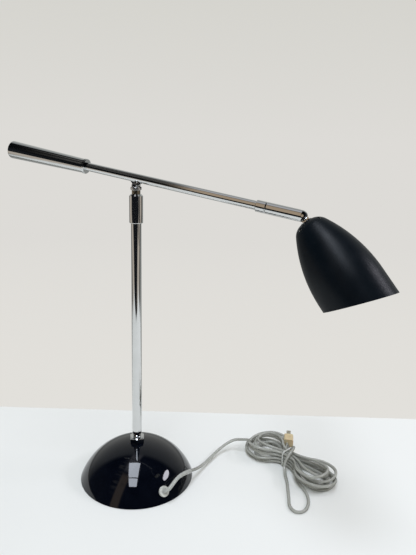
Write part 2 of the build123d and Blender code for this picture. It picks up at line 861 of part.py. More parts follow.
with BuildPart() as cord_relief:
    with BuildLine() as relief_path:
        FilletPolyline(*relief_route, radius=relief_radii)
    relief_wire = relief_path.wires()[0]
    with BuildSketch(Plane(origin=relief_wire @ 0, z_dir=relief_wire % 0)):
        Circle(relief_root_diameter / 2)
    with BuildSketch(Plane(origin=relief_wire @ 1, z_dir=relief_wire % 1)):
        Circle(relief_end_diameter / 2)
    sweep(path=relief_wire, multisection=True)
print("relief radii", [round(r, 1) for r in relief_radii], "length", round(relief_wire.length, 1))
save(cord_relief.part, "cord_relief")

# ---- hank -----------------------------------------------------------------------------
# The cord is wound in long loops that a tie draws in at the waist.  The loops lie in
# layers, an inner and an outer loop in each; the cord steps to the next place along the
# far bend of the front lobe.  Hank directions: u along its length, v across, z up.
hank_centre = Vector(181.0, 110.0, 0)
hank_heading = -24.0
waist_inner = 2.6
waist_step = 5.1
waist_rise = 4.6
waist_layer = 4.85
lobe_step = 9.0
lobe_rise = cord_diameter / 2
lobe_layer = 6.4
front_lobe = {"side": 1, "bend": 54.0, "middle": -2.0, "half_width": 16.5, "nose": 18.0}
back_lobe = {"side": -1, "bend": -42.0, "middle": 2.0, "half_width": 17.5, "nose": 18.0}
bend_allowance = 4.0
layer_spread = [0.8, -0.4, 0.2, 0.4]
layer_reach = [1.2, 0.0, -0.5, 0.5]
loop_places = [(1, 3), (0, 3), (0, 2), (1, 2), (1, 1), (0, 1), (0, 0), (1, 0)]

plug_dir = Vector(-0.217, 0.976, 0).normalized()
plug_rear = Vector(179.2, 135.4, plug_height / 2 + plug_entry_lift)

heading = math.radians(hank_heading)
along_hank = Vector(math.cos(heading), math.sin(heading), 0)
across_hank = Vector(-math.sin(heading), math.cos(heading), 0)


def hank_point(u, v, z):
    """Place in the lamp's frame of a point given along, across and above the hank."""
    return hank_centre + along_hank * u + across_hank * v + Vector(0, 0, z)


def hank_tangent(angle, slope=0.0):
    """Unit direction at an angle from the hank's length, climbing by slope."""
    turn = heading + math.radians(angle)
    return Vector(math.cos(turn), math.sin(turn), slope).normalized()


def layered(values, layer):
    """Value for a layer, or half way between two layers."""
    below = int(layer)
    above = min(below + 1, len(values) - 1)
    return values[below] + (values[above] - values[below]) * (layer - below)


def lobe_flank(lobe, ring, layer, v_side):
    """Widest point of a loop in a lobe, on one side of it."""
    half_width = lobe["half_width"] + ring * lobe_step + layered(layer_spread, layer)
    v = lobe["middle"] + v_side * half_width
    return hank_point(lobe["bend"], v, lobe_rise + layer * lobe_layer)


def lobe_nose(lobe, ring, layer):
    """Outermost point of a loop in a lobe."""
    reach = lobe["nose"] + ring * lobe_step + layered(layer_reach, layer)
    u = lobe["bend"] + lobe["side"] * reach
    return hank_point(u, lobe["middle"], lobe_rise + layer * lobe_layer)


def waist(ring, layer, v_side):
    """Place of a loop where the tie draws it in."""
    v = v_side * (waist_inner + ring * waist_step)
    return hank_point(0, v, waist_rise + layer * waist_layer)


hank_stations = []
hank_start = lead_route[-1]
start_dir = (lead_route[-1] - lead_route[-2]).normalized()
hank_stations.append((hank_start, start_dir))
hank_stations.append((hank_start + start_dir * cord_diameter, start_dir))
first_ring, first_layer = loop_places[0]
hank_stations.append((lobe_flank(back_lobe, first_ring, first_layer, -1), hank_tangent(4)))
hank_stations.append((waist(first_ring, first_layer, -1), hank_tangent(0)))

for (ring, layer), (next_ring, next_layer) in zip(loop_places, loop_places[1:]):
    mid_ring = (ring + next_ring) / 2
    mid_layer = (layer + next_layer) / 2
    half_bend = math.pi * (front_lobe["nose"] + bend_allowance + mid_ring * lobe_step)
    climb = (next_layer - layer) * lobe_layer / half_bend
    drift = math.degrees(math.atan((next_ring - ring) * lobe_step / half_bend))
    hank_stations.append((lobe_flank(front_lobe, ring, layer, -1), hank_tangent(0)))
    hank_stations.append((lobe_nose(front_lobe, mid_ring, mid_layer), hank_tangent(90 - drift, climb)))
    hank_stations.append((lobe_flank(front_lobe, next_ring, next_layer, 1), hank_tangent(180)))
    hank_stations.append((waist(next_ring, next_layer, 1), hank_tangent(180)))
    hank_stations.append((lobe_flank(back_lobe, next_ring, next_layer, 1), hank_tangent(180)))
    hank_stations.append((lobe_nose(back_lobe, next_ring, next_layer), hank_tangent(270)))
    hank_stations.append((lobe_flank(back_lobe, next_ring, next_layer, -1), hank_tangent(0)))
    hank_stations.append((waist(next_ring, next_layer, -1), hank_tangent(0)))

# One long loop falls forward on the table, comes back over the waist and ends at the plug.
table = cord_diameter / 2
hank_stations += [
    (hank_point(36.0, -25.0, table), hank_tangent(-36)),
    (Vector(229, 42, table), Vector(0.08, -1, 0).normalized()),
    (Vector(217, 5, table), Vector(-1, 0.05, 0).normalized()),
    (Vector(203, 32, table), Vector(-0.1, 1, 0).normalized()),
    (Vector(190.5, 66, table + 0.4), Vector(-0.42, 0.9, 0).normalized()),
    (hank_point(14.5, -24.5, 7.5), hank_tangent(96, 0.7)),
    (hank_point(13.5, -17.0, 18.5), hank_tangent(98, 1.6)),
    (hank_point(11.5, -2.0, 26.8), hank_tangent(112)),
    (hank_point(2.5, 13.5, 19.5), hank_tangent(128, -0.85)),
    (plug_rear - plug_dir * cord_diameter, plug_dir),
    (plug_rear, plug_dir),
]


def meeting_point(start, start_dir, end, end_dir):
    """Point and direction where the two arcs of a biarc meet."""
    chord = end - start
    both = start_dir + end_dir
    open_angle = 1 - start_dir.dot(end_dir)
    if open_angle < 1e-9:
        arm = chord.dot(chord) / (4 * chord.dot(start_dir))
    else:
        lean = chord.dot(both)
        arm = (math.sqrt(lean**2 + 2 * open_angle * chord.dot(chord)) - lean) / (2 * open_angle)
    inner_start = start + start_dir * arm
    inner_end = end - end_dir * arm
    return (inner_start + inner_end) * 0.5, (inner_end - inner_start).normalized()


def arc_or_line(start, direction, end):
    """Arc that leaves start in a direction and ends at end, or a line if they agree."""
    chord = end - start
    if chord.get_angle(direction) < 0.01:
        return Line(start, end)
    return TangentArc(start, end, tangent=direction)


with BuildLine() as hank_path:
    for (start, start_dir), (end, end_dir) in zip(hank_stations, hank_stations[1:]):
        middle, middle_dir = meeting_point(start, start_dir, end, end_dir)
        arc_or_line(start, start_dir, middle)
        arc_or_line(middle, middle_dir, end)

hank_edges = hank_path.edges()
hank_length = sum(edge.length for edge in hank_edges)
hank_radii = [edge.radius for edge in hank_edges if edge.geom_type == GeomType.CIRCLE]

with BuildPart() as cord_hank:
    with BuildSketch(Plane(origin=hank_start, z_dir=lead_route[-1] - lead_route[-2])):
        Circle(cord_diameter / 2)
    sweep(path=hank_path.wires()[0])
report_tube("hank", cord_hank.part, hank_length, cord_diameter, [min(hank_radii)])
save(cord_hank.part, "cord_hank")


def least_gap(edges, diameter, spacing):
    """Least gap of a tube to itself, from points along its path at about one spacing."""
    points = []
    run = 0.0
    for edge in edges:
        steps = max(1, round(edge.length / spacing))
        for step in range(steps):
            share = step / steps
            place = edge @ share
            points.append((run + edge.length * share, place.X, place.Y, place.Z))
        run += edge.length
    least = math.inf
    for i, (run_a, xa, ya, za) in enumerate(points):
        for run_b, xb, yb, zb in points[i + 1 :]:
            if run_b - run_a > 3 * diameter:
                least = min(least, math.dist((xa, ya, za), (xb, yb, zb)))
    return least - diameter


print("hank least gap to itself", round(least_gap(hank_edges, cord_diameter, 1.2), 2))

# ---- tie round the hank's waist -------------------------------------------------------
tie_place = -4.0
top_layer = max(layer for ring, layer in loop_places)
tie_half_width = waist_inner + waist_step + cord_diameter / 2 + tie_side_slack
tie_bottom = waist_rise - cord_diameter / 2 - tie_slack
tie_top = waist_rise + top_layer * waist_layer + cord_diameter / 2 + tie_slack
tie_plane = Plane(
    origin=hank_point(tie_place - tie_width / 2, 0, (tie_bottom + tie_top) / 2),
    x_dir=across_hank,
    z_dir=along_hank,
)

with BuildPart() as hank_tie:
    with BuildSketch(tie_plane):
        RectangleRounded(
            2 * (tie_half_width + tie_thickness),
            tie_top - tie_bottom + 2 * tie_thickness,
            tie_corner + tie_thickness,
        )
        RectangleRounded(
            2 * tie_half_width,
            tie_top - tie_bottom,
            tie_inner_corner,
            mode=Mode.SUBTRACT,
        )
    extrude(amount=tie_width)
save(hank_tie.part, "hank_tie")

# ---- plug -----------------------------------------------------------------------------
# The plug stands on its narrow side, and the cord enters a little above its middle.
plug_plane = Plane(origin=plug_rear, x_dir=(0, 0, 1), z_dir=plug_dir)
plug_middle = -plug_entry_lift

with BuildPart() as plug_body:
    with BuildSketch(plug_plane):
        with Locations((plug_middle, 0)):
            Rectangle(plug_height, plug_thickness)
    extrude(amount=plug_length)
    fillet(plug_body.edges().filter_by(Axis(plug_rear, plug_dir)), plug_fillet)
    with BuildSketch(plug_plane.offset(plug_length)):
        for side in (-1, 1):
            with Locations((plug_middle + side * blade_spacing / 2, 0)):
                Rectangle(blade_thickness + 2 * SEAT, blade_width + 2 * SEAT)
    extrude(amount=-blade_root, mode=Mode.SUBTRACT)
save(plug_body.part, "plug_body")

with BuildPart() as plug_blades:
    with BuildSketch(plug_plane.offset(plug_length - blade_root + SEAT)):
        for side in (-1, 1):
            with Locations((plug_middle + side * blade_spacing / 2, 0)):
                Rectangle(blade_thickness, blade_width)
    extrude(amount=blade_length + blade_root - SEAT)
save(plug_blades.part, "plug_blades")
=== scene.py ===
"""Looks of a counterweighted desk lamp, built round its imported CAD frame.

Metres, in the lamp's frame: the origin is the centre of the base on the table, +Z goes up
the post and +X is the way the arm points to its shade.
"""

import logging
import math
from collections.abc import Callable
from dataclasses import dataclass
from enum import Enum
from functools import partial

import bpy
import numpy as np
from bpy.types import ID, Collection, Material, Mesh, Node, NodeSocket, NodeTree, Object, World
from mathutils import Matrix, Vector


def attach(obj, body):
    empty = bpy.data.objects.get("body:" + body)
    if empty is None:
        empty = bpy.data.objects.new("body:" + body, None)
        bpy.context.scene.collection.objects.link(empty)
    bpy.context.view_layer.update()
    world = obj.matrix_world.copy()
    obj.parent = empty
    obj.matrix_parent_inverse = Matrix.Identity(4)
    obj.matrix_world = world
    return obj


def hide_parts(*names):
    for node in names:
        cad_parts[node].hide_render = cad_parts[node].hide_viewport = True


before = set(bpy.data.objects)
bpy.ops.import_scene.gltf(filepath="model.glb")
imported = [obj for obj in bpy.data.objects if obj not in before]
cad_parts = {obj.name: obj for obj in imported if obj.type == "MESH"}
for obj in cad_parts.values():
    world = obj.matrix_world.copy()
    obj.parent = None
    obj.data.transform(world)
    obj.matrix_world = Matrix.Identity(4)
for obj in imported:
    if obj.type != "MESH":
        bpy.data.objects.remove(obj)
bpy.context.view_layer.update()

log = logging.getLogger("desk_lamp")
Pair = tuple[float, float]
Triple = tuple[float, float, float]
Row = tuple[float, ...]
AddNode = Callable[..., Node]
MM = 0.001
UPWARD = (0.0, 0.0, 1.0)
# Level directions of the photograph: from the lamp to the camera, and to its right.
TOWARD_CAMERA = (0.3616, -0.9324, 0.0)
CAMERA_RIGHT = (0.9324, 0.3616, 0.0)
# The arm: along it to the shade, square to it upward, and level to the viewer's side.
ARM_AXIS = (0.989399, 0.0, -0.145223)
ARM_UP = (0.145223, 0.0, 0.989399)
ARM_NEAR_SIDE = (0.0, -1.0, 0.0)


class Fade(Enum):
    """How a value goes from none to full between two edges."""

    EVEN = "LINEAR"
    SOFT = "SMOOTHSTEP"


def linear(hex_colour: str) -> tuple[float, float, float, float]:
    """Turn an sRGB hex colour to linear light.

    Args:
        hex_colour: Colour as six hex digits, with or without a hash.
    Returns:
        Red, green, blue and an alpha of one.
    """
    digits = hex_colour.lstrip("#")
    parts = [int(digits[i : i + 2], 16) / 255 for i in (0, 2, 4)]
    light = [c / 12.92 if c <= 0.04045 else ((c + 0.055) / 1.055) ** 2.4 for c in parts]
    return (light[0], light[1], light[2], 1.0)


def add_node(tree: NodeTree, kind: str, settings: dict | None = None) -> Node:
    """Add a node to a tree with its settings and links.

    Args:
        tree: Node tree that gets the node.
        kind: Blender's name for the type of node, after "ShaderNode".
        settings: Node options by name.  By socket name or index, an input's value or what
            feeds it: a socket, or a node for its first output in use.
    Returns:
        The new node.
    """
    made = tree.nodes.new("ShaderNode" + kind)
    for name, value in (settings or {}).items():
        if isinstance(value, Node):
            value = next(socket for socket in value.outputs if socket.enabled)
        if isinstance(value, NodeSocket):
            tree.links.new(value, made.inputs[name])
        elif isinstance(name, int) or name in made.inputs:
            made.inputs[name].default_value = value
        else:
            setattr(made, name, value)
    return made


def cleared(owner: Material | World) -> AddNode:
    """Empty the node tree of a material or world.

    Args:
        owner: The material or world.
    Returns:
        The function that adds a node, for this tree.
    """
    owner.use_nodes = True
    owner.node_tree.nodes.clear()
    return partial(add_node, owner.node_tree)


def add_object(name: str, data: ID) -> Object:
    """Put a new object in the scene.

    Args:
        name: Name of the object.
        data: Its mesh, curve, light or camera.
    Returns:
        The object.
    """
    made = bpy.data.objects.new(name, data)
    bpy.context.scene.collection.objects.link(made)
    return made


def dress(finish: Material, *nodes: str) -> None:
    """Give CAD nodes a finish in every material slot they have.

    Args:
        finish: The material.
        nodes: Names of the nodes.
    """
    for name in nodes:
        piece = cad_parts[name]
        if not piece.material_slots:
            piece.data.materials.append(finish)
        for slot in piece.material_slots:
            slot.material = finish
        log.info("%s: %s", name, finish.name)


# ---- finishes -------------------------------------------------------------------------
class Grain(Enum):
    """Way that a worked metal's fine lines run."""

    DRAWN = "along the axis"
    TURNED = "round the axis"


@dataclass(frozen=True)
class Finish:
    """A real material with the surface its making left on it."""

    name: str

    def sockets(self) -> dict:
        """Values of the shader's sockets that are the same all over."""
        return {}

    def texture(self, add: AddNode) -> dict:
        """Add what varies over the surface.

        Args:
            add: Adds a node to the material's tree.
        Returns:
            What feeds the shader, by its socket.
        """
        return {}

    def material(self) -> Material:
        """Build the material.

        Returns:
            The new material.
        """
        made = bpy.data.materials.new(self.name)
        add = cleared(made)
        shader = add("BsdfPrincipled", {**self.sockets(), **self.texture(add)})
        add("OutputMaterial", {"Surface": shader})
        return made


@dataclass(frozen=True)
class WorkedMetal(Finish):
    """Metal with lines of drawing, turning or polishing.  Sizes are in millimetres."""

    axis: Triple = UPWARD
    grain: Grain = Grain.DRAWN
    clean: str = "#DDDEDE"
    dull: str = "#CFD0CF"
    line_width: float = 0.5
    line_length: float = 60.0
    line_depth: float = 0.0012
    cloud_size: float = 14.0
    smooth: float = 0.035
    rough: float = 0.09

    def sockets(self) -> dict:
        """Bare metal, with Blender's own index for metals."""
        return {"Metallic": 1.0}

    def texture(self, add: AddNode) -> dict:
        """Fine lines in the bump, clouds in the colour and both in the roughness.

        Args:
            add: Adds a node to the material's tree.
        Returns:
            What feeds the shader, by its socket.
        """
        turn = Vector(UPWARD).rotation_difference(Vector(self.axis)).to_euler()
        across, along = self.line_width * MM, self.line_length * MM
        if self.grain is Grain.TURNED:
            across, along = along, across
        place = add("TexCoord").outputs["Object"]
        turned = {"vector_type": "TEXTURE", "Rotation": turn, "Scale": (across, across, along)}
        lines, clouds = (
            add("TexNoise", {"Vector": at, "Scale": scale, "Detail": detail, "Roughness": rough})
            for at, scale, detail, rough in (
                (add("Mapping", {"Vector": place, **turned}), 1.0, 3.0, 0.6),
                (place, 1 / (self.cloud_size * MM), 4.0, 0.55),
            )
        )
        both = add("Math", {"operation": "MULTIPLY", 0: lines, 1: clouds})
        ends = {"From Min": 0.12, "From Max": 0.42, "To Min": self.smooth, "To Max": self.rough}
        clean, dull = linear(self.clean), linear(self.dull)
        return {
            "Base Color": add("Mix", {"data_type": "RGBA", 0: clouds, 6: clean, 7: dull}),
            "Roughness": add("MapRange", {"Value": both, **ends}),
            "Normal": add("Bump", {"Distance": self.line_depth * MM, "Height": lines}),
        }


@dataclass(frozen=True)
class Coating(Finish):
    """Paint, enamel, plastic or glass: a body colour under its own gloss.

    Sizes are in millimetres.
    """

    body: str
    worn: str
    patch_size: float
    pore_size: float
    pore_depth: float
    smooth: float
    rough: float
    index: float = 1.5
    extras: tuple[tuple[str, float | Triple], ...] = ()

    def sockets(self) -> dict:
        """Index of the binder, and what else is the same all over."""
        return {"IOR": self.index, **dict(self.extras)}

    def texture(self, add: AddNode) -> dict:
        """Patches of wear in colour and gloss over the fine skin of the coat.

        Args:
            add: Adds a node to the material's tree.
        Returns:
            What feeds the shader, by its socket.
        """
        place = add("TexCoord").outputs["Object"]
        patches, pores = (
            add("TexNoise", {"Vector": place, "Scale": 1 / (size * MM), **settings})
            for size, settings in (
                (self.patch_size, {"Detail": 6.0, "Roughness": 0.62}),
                (self.pore_size, {"Detail": 2.0, "Roughness": 0.5}),
            )
        )
        share = add("MapRange", {"Value": patches, "From Min": 0.35, "From Max": 0.7})
        ends = {"From Min": 0.3, "From Max": 0.7, "To Min": self.smooth, "To Max": self.rough}
        body, worn = linear(self.body), linear(self.worn)
        return {
            "Base Color": add("Mix", {"data_type": "RGBA", 0: share, 6: body, 7: worn}),
            "Roughness": add("MapRange", {"Value": patches, **ends}),
            "Normal": add("Bump", {"Distance": self.pore_depth * MM, "Height": pores}),
        }


@dataclass(frozen=True)
class ClearTube(Coating):
    """Clear soft plastic in a round section, which bends light so that its edges go dark; that
    shade is painted into its colour at a grazing angle.
    """

    # the tone painted at the edges (painted shade by default), and the facing values between which
    # it comes in
    painted_edge_tone: str = "#3A3B36"
    painted_edge_from: float = 0.4
    painted_edge_to: float = 0.88

    def texture(self, add: AddNode) -> dict:
        """Wear as on any coat, with the painted edge tone at a grazing angle.

        Args:
            add: Adds a node to the material's tree.
        Returns:
            What feeds the shader, by its socket.
        """
        nodes = super().texture(add)
        # the edge tone is painted in by how squarely the surface faces the viewer
        facing = add("LayerWeight", {"Blend": 0.5}).outputs["Facing"]
        ends = {"From Min": self.painted_edge_from, "From Max": self.painted_edge_to}
        share = add("MapRange", {"interpolation_type": Fade.SOFT.value, "Value": facing, **ends})
        tones = {0: share, 6: nodes["Base Color"], 7: linear(self.painted_edge_tone)}
        return nodes | {"Base Color": add("Mix", {"data_type": "RGBA", **tones})}


@dataclass(frozen=True)
class LinedCoating(Coating):
    """Coat on the outside of a turned shell, with another colour inside it."""

    lining: str = "#E4E1D7"
    # a point on the shell's axis, and the way the axis runs
    pivot: Triple = (0.0, 0.0, 0.0)
    axis: Triple = UPWARD

    def texture(self, add: AddNode) -> dict:
        """Wear as on any coat, with the lining where the surface faces the axis.

        Args:
            add: Adds a node to the material's tree.
        Returns:
            What feeds the shader, by its socket.
        """
        nodes = super().texture(add)
        place = add("TexCoord").outputs
        arm = add("VectorMath", {"operation": "SUBTRACT", 0: place["Object"], 1: self.pivot})
        along = add("VectorMath", {"operation": "PROJECT", 0: arm, 1: self.axis})
        outward = add("VectorMath", {"operation": "SUBTRACT", 0: arm, 1: along})
        unit = add("VectorMath", {"operation": "NORMALIZE", 0: outward})
        facing = add("VectorMath", {"operation": "DOT_PRODUCT", 0: unit, 1: place["Normal"]})
        inside = add("MapRange", {"Value": facing, "From Min": -0.02, "From Max": -0.08})
        tones = {0: inside, 6: nodes["Base Color"], 7: linear(self.lining)}
        return nodes | {"Base Color": add("Mix", {"data_type": "RGBA", **tones})}


@dataclass(frozen=True)
class PressedFelt(Finish):
    """Wool felt, pressed: matted fibres about 0.4 mm apart with a faint sheen."""

    name: str = "wool_felt_pressed"
    fibre: float = 0.4
    pill: float = 4.0
    nap: float = 0.2
    dark: str = "#2E2F31"
    light: str = "#4B4C4E"

    def sockets(self) -> dict:
        """Matte fibres that catch light at a grazing angle."""
        return {"Roughness": 0.95, "Sheen Weight": 0.4, "Sheen Roughness": 0.5}

    def texture(self, add: AddNode) -> dict:
        """Fibres in colour and bump, over uneven pressing.

        Args:
            add: Adds a node to the material's tree.
        Returns:
            What feeds the shader, by its socket.
        """
        place = add("TexCoord").outputs["Object"]
        fibres, pills = (
            add("TexNoise", {"Vector": place, "Scale": 1 / (size * MM), **settings})
            for size, settings in (
                (self.fibre, {"Detail": 5.0, "Distortion": 1.2}),
                (self.pill, {"Detail": 3.0}),
            )
        )
        height = add("Math", {"operation": "ADD", 0: fibres, 1: pills})
        dark, light = linear(self.dark), linear(self.light)
        return {
            "Base Color": add("Mix", {"data_type": "RGBA", 0: fibres, 6: dark, 7: light}),
            "Normal": add("Bump", {"Distance": self.nap * MM, "Height": height}),
        }


# Bright chrome on drawn and polished steel: near-mirror bands with faint draw lines.  The
# lines are a few hundredths of a millimetre apart, drawn coarser here so that they show.
POST_CHROME = WorkedMetal("chrome_plate_on_drawn_tube")
ARM_CHROME = WorkedMetal("chrome_plate_on_drawn_rod", axis=ARM_AXIS)
# The same plate on turned steel keeps fine rings from the lathe.
TURNED_CHROME = WorkedMetal(
    "chrome_plate_on_turned_steel", grain=Grain.TURNED, line_width=0.6, line_length=30
)
# On the arm's turned sleeves and collars the rings go round the arm.
SLEEVE_CHROME = WorkedMetal(
    "chrome_plate_on_turned_sleeve", axis=ARM_AXIS, grain=Grain.TURNED,
    line_width=0.7, line_length=30,
)
# The small fork was cast and only tumbled before plating, so it mirrors its room blurred.
CAST_CHROME = WorkedMetal(
    "chrome_plate_on_tumbled_casting", grain=Grain.TURNED,
    line_width=0.6, line_length=30, smooth=0.24, rough=0.36,
)
# Zinc plate from a barrel is grey and slightly milky, with no lasting polish.
BARREL_ZINC = WorkedMetal(
    "zinc_plate_from_barrel", grain=Grain.TURNED, clean="#C3C6C8", dull="#9C9F9F",
    line_depth=0.01, cloud_size=5, smooth=0.28, rough=0.45,
)
# Old turned brass with its lacquer gone brown, so it shows darker than the chrome on it.
AGED_BRASS = WorkedMetal(
    "aged_brass_turned", grain=Grain.TURNED, clean="#A69C88", dull="#787062",
    line_width=0.4, line_length=20, cloud_size=3, smooth=0.22, rough=0.4,
)
# Thin brass strip, stamped and bright, warm yellow where the contacts rub it.
STAMPED_BRASS = WorkedMetal(
    "brass_strip_stamped", clean="#E3C27A", dull="#B8935A",
    line_width=0.2, line_length=8, cloud_size=3, smooth=0.18, rough=0.32,
)
# Plug blades are brass strip with a dull nickel plate, paler than bare brass.
PLATED_BLADES = WorkedMetal(
    "nickel_plate_on_stamped_brass", clean="#CFCABC", dull="#B2AC9C",
    line_width=0.2, line_length=8, cloud_size=3, smooth=0.2, rough=0.34,
)
# Tinned copper strands: many fine round wires scatter light, so the bunch is pale and soft.
TINNED_STRAND = Coating(
    "tinned_copper_strand_bunched", body="#A9AA9F", worn="#8D8E84",
    patch_size=6, pore_size=0.5, pore_depth=0.03, smooth=0.25, rough=0.4,
    extras=(("Metallic", 0.35),),
)
# Stoved enamel flows out to a deep black gloss, with a trace of orange peel 3 mm across.
STOVED_ENAMEL = Coating(
    "black_enamel_stoved", body="#04060D", worn="#080B13",
    patch_size=18, pore_size=3.2, pore_depth=0.004, smooth=0.03, rough=0.07,
)
# Sand-cast iron: a coarse dull skin with grains of about half a millimetre, drawn at 0.8 mm.
CAST_IRON = Coating(
    "grey_iron_sand_cast", body="#4A4A4B", worn="#5E5A55",
    patch_size=9, pore_size=0.8, pore_depth=0.15, smooth=0.6, rough=0.8,
)
# Phenolic moulding: deep brown-black with the soft gloss that the steel mould gave it.
MOULDED_PHENOLIC = Coating(
    "phenolic_moulded", body="#1C1512", worn="#2A211C",
    patch_size=7, pore_size=0.4, pore_depth=0.008, smooth=0.22, rough=0.34,
    index=1.6,
)
# Ivory plastic moulding, aged to tan, with a fine spark-eroded grain.
MOULDED_IVORY = Coating(
    "ivory_plastic_moulded", body="#D3C19B", worn="#C3AE84",
    patch_size=9, pore_size=0.5, pore_depth=0.02, smooth=0.32, rough=0.45,
    index=1.53, extras=(("Subsurface Weight", 0.12), ("Subsurface Scale", 1.5 * MM)),
)
# Milky soft vinyl, moulded: light goes in and scatters, so it looks like frosted wax.
MILKY_VINYL = Coating(
    "milky_vinyl_moulded", body="#E6E7E1", worn="#CBCCC5",
    patch_size=5, pore_size=1.2, pore_depth=0.02, smooth=0.16, rough=0.26,
    index=1.53,
    extras=(
        ("Transmission Weight", 0.25),
        ("Subsurface Weight", 0.3),
        ("Subsurface Scale", 2 * MM),
        ("Subsurface Radius", (1.0, 1.0, 0.9)),
    ),
)
# Blown glass bulb with a pearl frost inside, so it glows evenly pale.
PEARL_GLASS = Coating(
    "pearl_glass_blown", body="#F1F1EC", worn="#E7E7E0",
    patch_size=14, pore_size=4, pore_depth=0.004, smooth=0.08, rough=0.12,
    index=1.52, extras=(("Transmission Weight", 0.3),),
)
# Sprayed satin lacquer: the fine grain of the spray breaks a highlight into a soft glow.
# Inside, a white reflector lacquer, slightly yellowed by the bulb's heat.
SPRAYED_LACQUER = LinedCoating(
    "satin_black_lacquer_sprayed", body="#020910", worn="#050D14",
    patch_size=16, pore_size=0.7, pore_depth=0.012, smooth=0.36, rough=0.42,
    extras=(("Specular IOR Level", 0.16),),
    pivot=(0.203322, 0.0, 0.372757), axis=(0.640587, -0.150522, -0.752989),
)
# Clear vinyl jacket, extruded: a thin glossy skin through which the strands show, with painted
# shade at its edges.
EXTRUDED_VINYL = ClearTube(
    "clear_vinyl_extruded", body="#CFD0C9", worn="#BCBDB5",
    patch_size=30, pore_size=1.5, pore_depth=0.01, smooth=0.12, rough=0.2,
    index=1.53, extras=(("Alpha", 0.5),),
)
# Soft clear vinyl, moulded over the cord: cloudier than the jacket, with a pale sheen painted at
# its edges.
SLEEVE_VINYL = ClearTube(
    "clear_vinyl_moulded_sleeve", body="#CED0CB", worn="#B2B4AF",
    patch_size=4, pore_size=1.2, pore_depth=0.02, smooth=0.1, rough=0.18,
    index=1.53, painted_edge_tone="#D5D7D2", extras=(("Alpha", 0.6),),
)


# ---- tubes ----------------------------------------------------------------------------
def evenly(line: np.ndarray, step: float) -> np.ndarray:
    """Put points at equal steps along a line.

    Args:
        line: Points of the line, one a row.
        step: Distance between the new points.
    Returns:
        The new points, one a row.
    """
    run = np.concatenate([[0], np.cumsum(np.linalg.norm(np.diff(line, axis=0), axis=1))])
    at = np.linspace(0, run[-1], max(2, round(run[-1] / step) + 1))
    return np.stack([np.interp(at, run, line[:, k]) for k in range(3)], axis=1)


def carried_frames(line: np.ndarray) -> tuple[np.ndarray, np.ndarray]:
    """Carry two cross directions along a line without twist.

    Args:
        line: Points of the line, one a row.
    Returns:
        The first and the second cross direction at each point.
    """
    ahead = np.gradient(line, axis=0)
    ahead /= np.linalg.norm(ahead, axis=1)[:, None]
    start = np.cross(ahead[0], UPWARD)
    first = [start / np.linalg.norm(start)]
    for way in ahead[1:]:
        kept = first[-1] - way * np.dot(first[-1], way)
        first.append(kept / np.linalg.norm(kept))
    first = np.array(first)
    return first, np.cross(ahead, first)


def add_tubes(
    name: str, finish: Material, lines: list[np.ndarray], radii: list[np.ndarray], sides: int
) -> Object:
    """Build round tubes along lines, with closed ends, as one smooth piece.

    Args:
        name: Name of the piece.
        finish: Its material.
        lines: Centre points of each tube, one a row.
        radii: Radius at each point of each tube.
        sides: Number of sides of a tube.
    Returns:
        The piece's object.
    """
    points, faces = [], []
    angles = np.arange(sides) * 2 * math.pi / sides
    for line, size in zip(lines, radii):
        first, second = carried_frames(line)
        base = len(points)
        for centre, a, b, radius in zip(line, first, second, size):
            ring = centre + radius * (np.cos(angles)[:, None] * a + np.sin(angles)[:, None] * b)
            points.extend(ring.tolist())
        last = len(points) - sides
        for low in range(base, last, sides):
            for k in range(sides):
                after = (k + 1) % sides
                faces.append((low + k, low + after, low + sides + after, low + sides + k))
        faces.append(tuple(reversed(range(base, base + sides))))
        faces.append(tuple(range(last, last + sides)))
    mesh = bpy.data.meshes.new(name)
    mesh.from_pydata(points, [], faces)
    mesh.update()
    mesh.polygons.foreach_set("use_smooth", [True] * len(mesh.polygons))
    mesh.materials.append(finish)
    return add_object(name, mesh)


# ---- base, post, swivel, arm, shade ------------------------------------------------------
Groups = tuple[tuple[Finish, str], ...]


@dataclass(frozen=True)
class CadUnit:
    """Sub-assembly that keeps the CAD's shapes, with a finish for each group of nodes."""

    finishes: Groups

    def build(self) -> None:
        """Dress each group of nodes in its finish."""
        for finish, nodes in self.finishes:
            dress(finish.material(), *nodes.split())


@dataclass(frozen=True)
class Base(CadUnit):
    """Domed base with its cast weight, plate, felt and fixings."""

    finishes: Groups = (
        (STOVED_ENAMEL, "base_dome"),
        (CAST_IRON, "base_weight"),
        (PressedFelt(), "base_felt"),
        (BARREL_ZINC, "base_plate base_nipple base_lock_washer base_lock_nut"),
        (TURNED_CHROME, "base_hex_nut"),
    )


@dataclass(frozen=True)
class Post(CadUnit):
    """Chromed post, its top sleeve and the forked swivel on it."""

    finishes: Groups = (
        (POST_CHROME, "post_tube post_sleeve"),
        (AGED_BRASS, "swivel_bush"),
        (CAST_CHROME, "swivel_fork"),
        (TURNED_CHROME, "tilt_pin"),
        (BARREL_ZINC, "swivel_clip"),
    )


@dataclass(frozen=True)
class BalanceArm(CadUnit):
    """Arm rod with its lug, tapered counterweight and collars."""

    finishes: Groups = (
        (ARM_CHROME, "arm_rod counterweight arm_lug"),
        (SLEEVE_CHROME, "weight_collar arm_collar head_sleeve shade_pin"),
        (BARREL_ZINC, "head_retainer"),
    )


@dataclass(frozen=True)
class ShadeHead(CadUnit):
    """Bullet shade with its tongue, lampholder and bulb."""

    finishes: Groups = (
        (SPRAYED_LACQUER, "shade"),
        (TURNED_CHROME, "shade_tongue"),
        (BARREL_ZINC, "shade_nut"),
        (MOULDED_PHENOLIC, "lampholder"),
        (STAMPED_BRASS, "holder_shell bulb_cap"),
        (PEARL_GLASS, "bulb_glass"),
    )


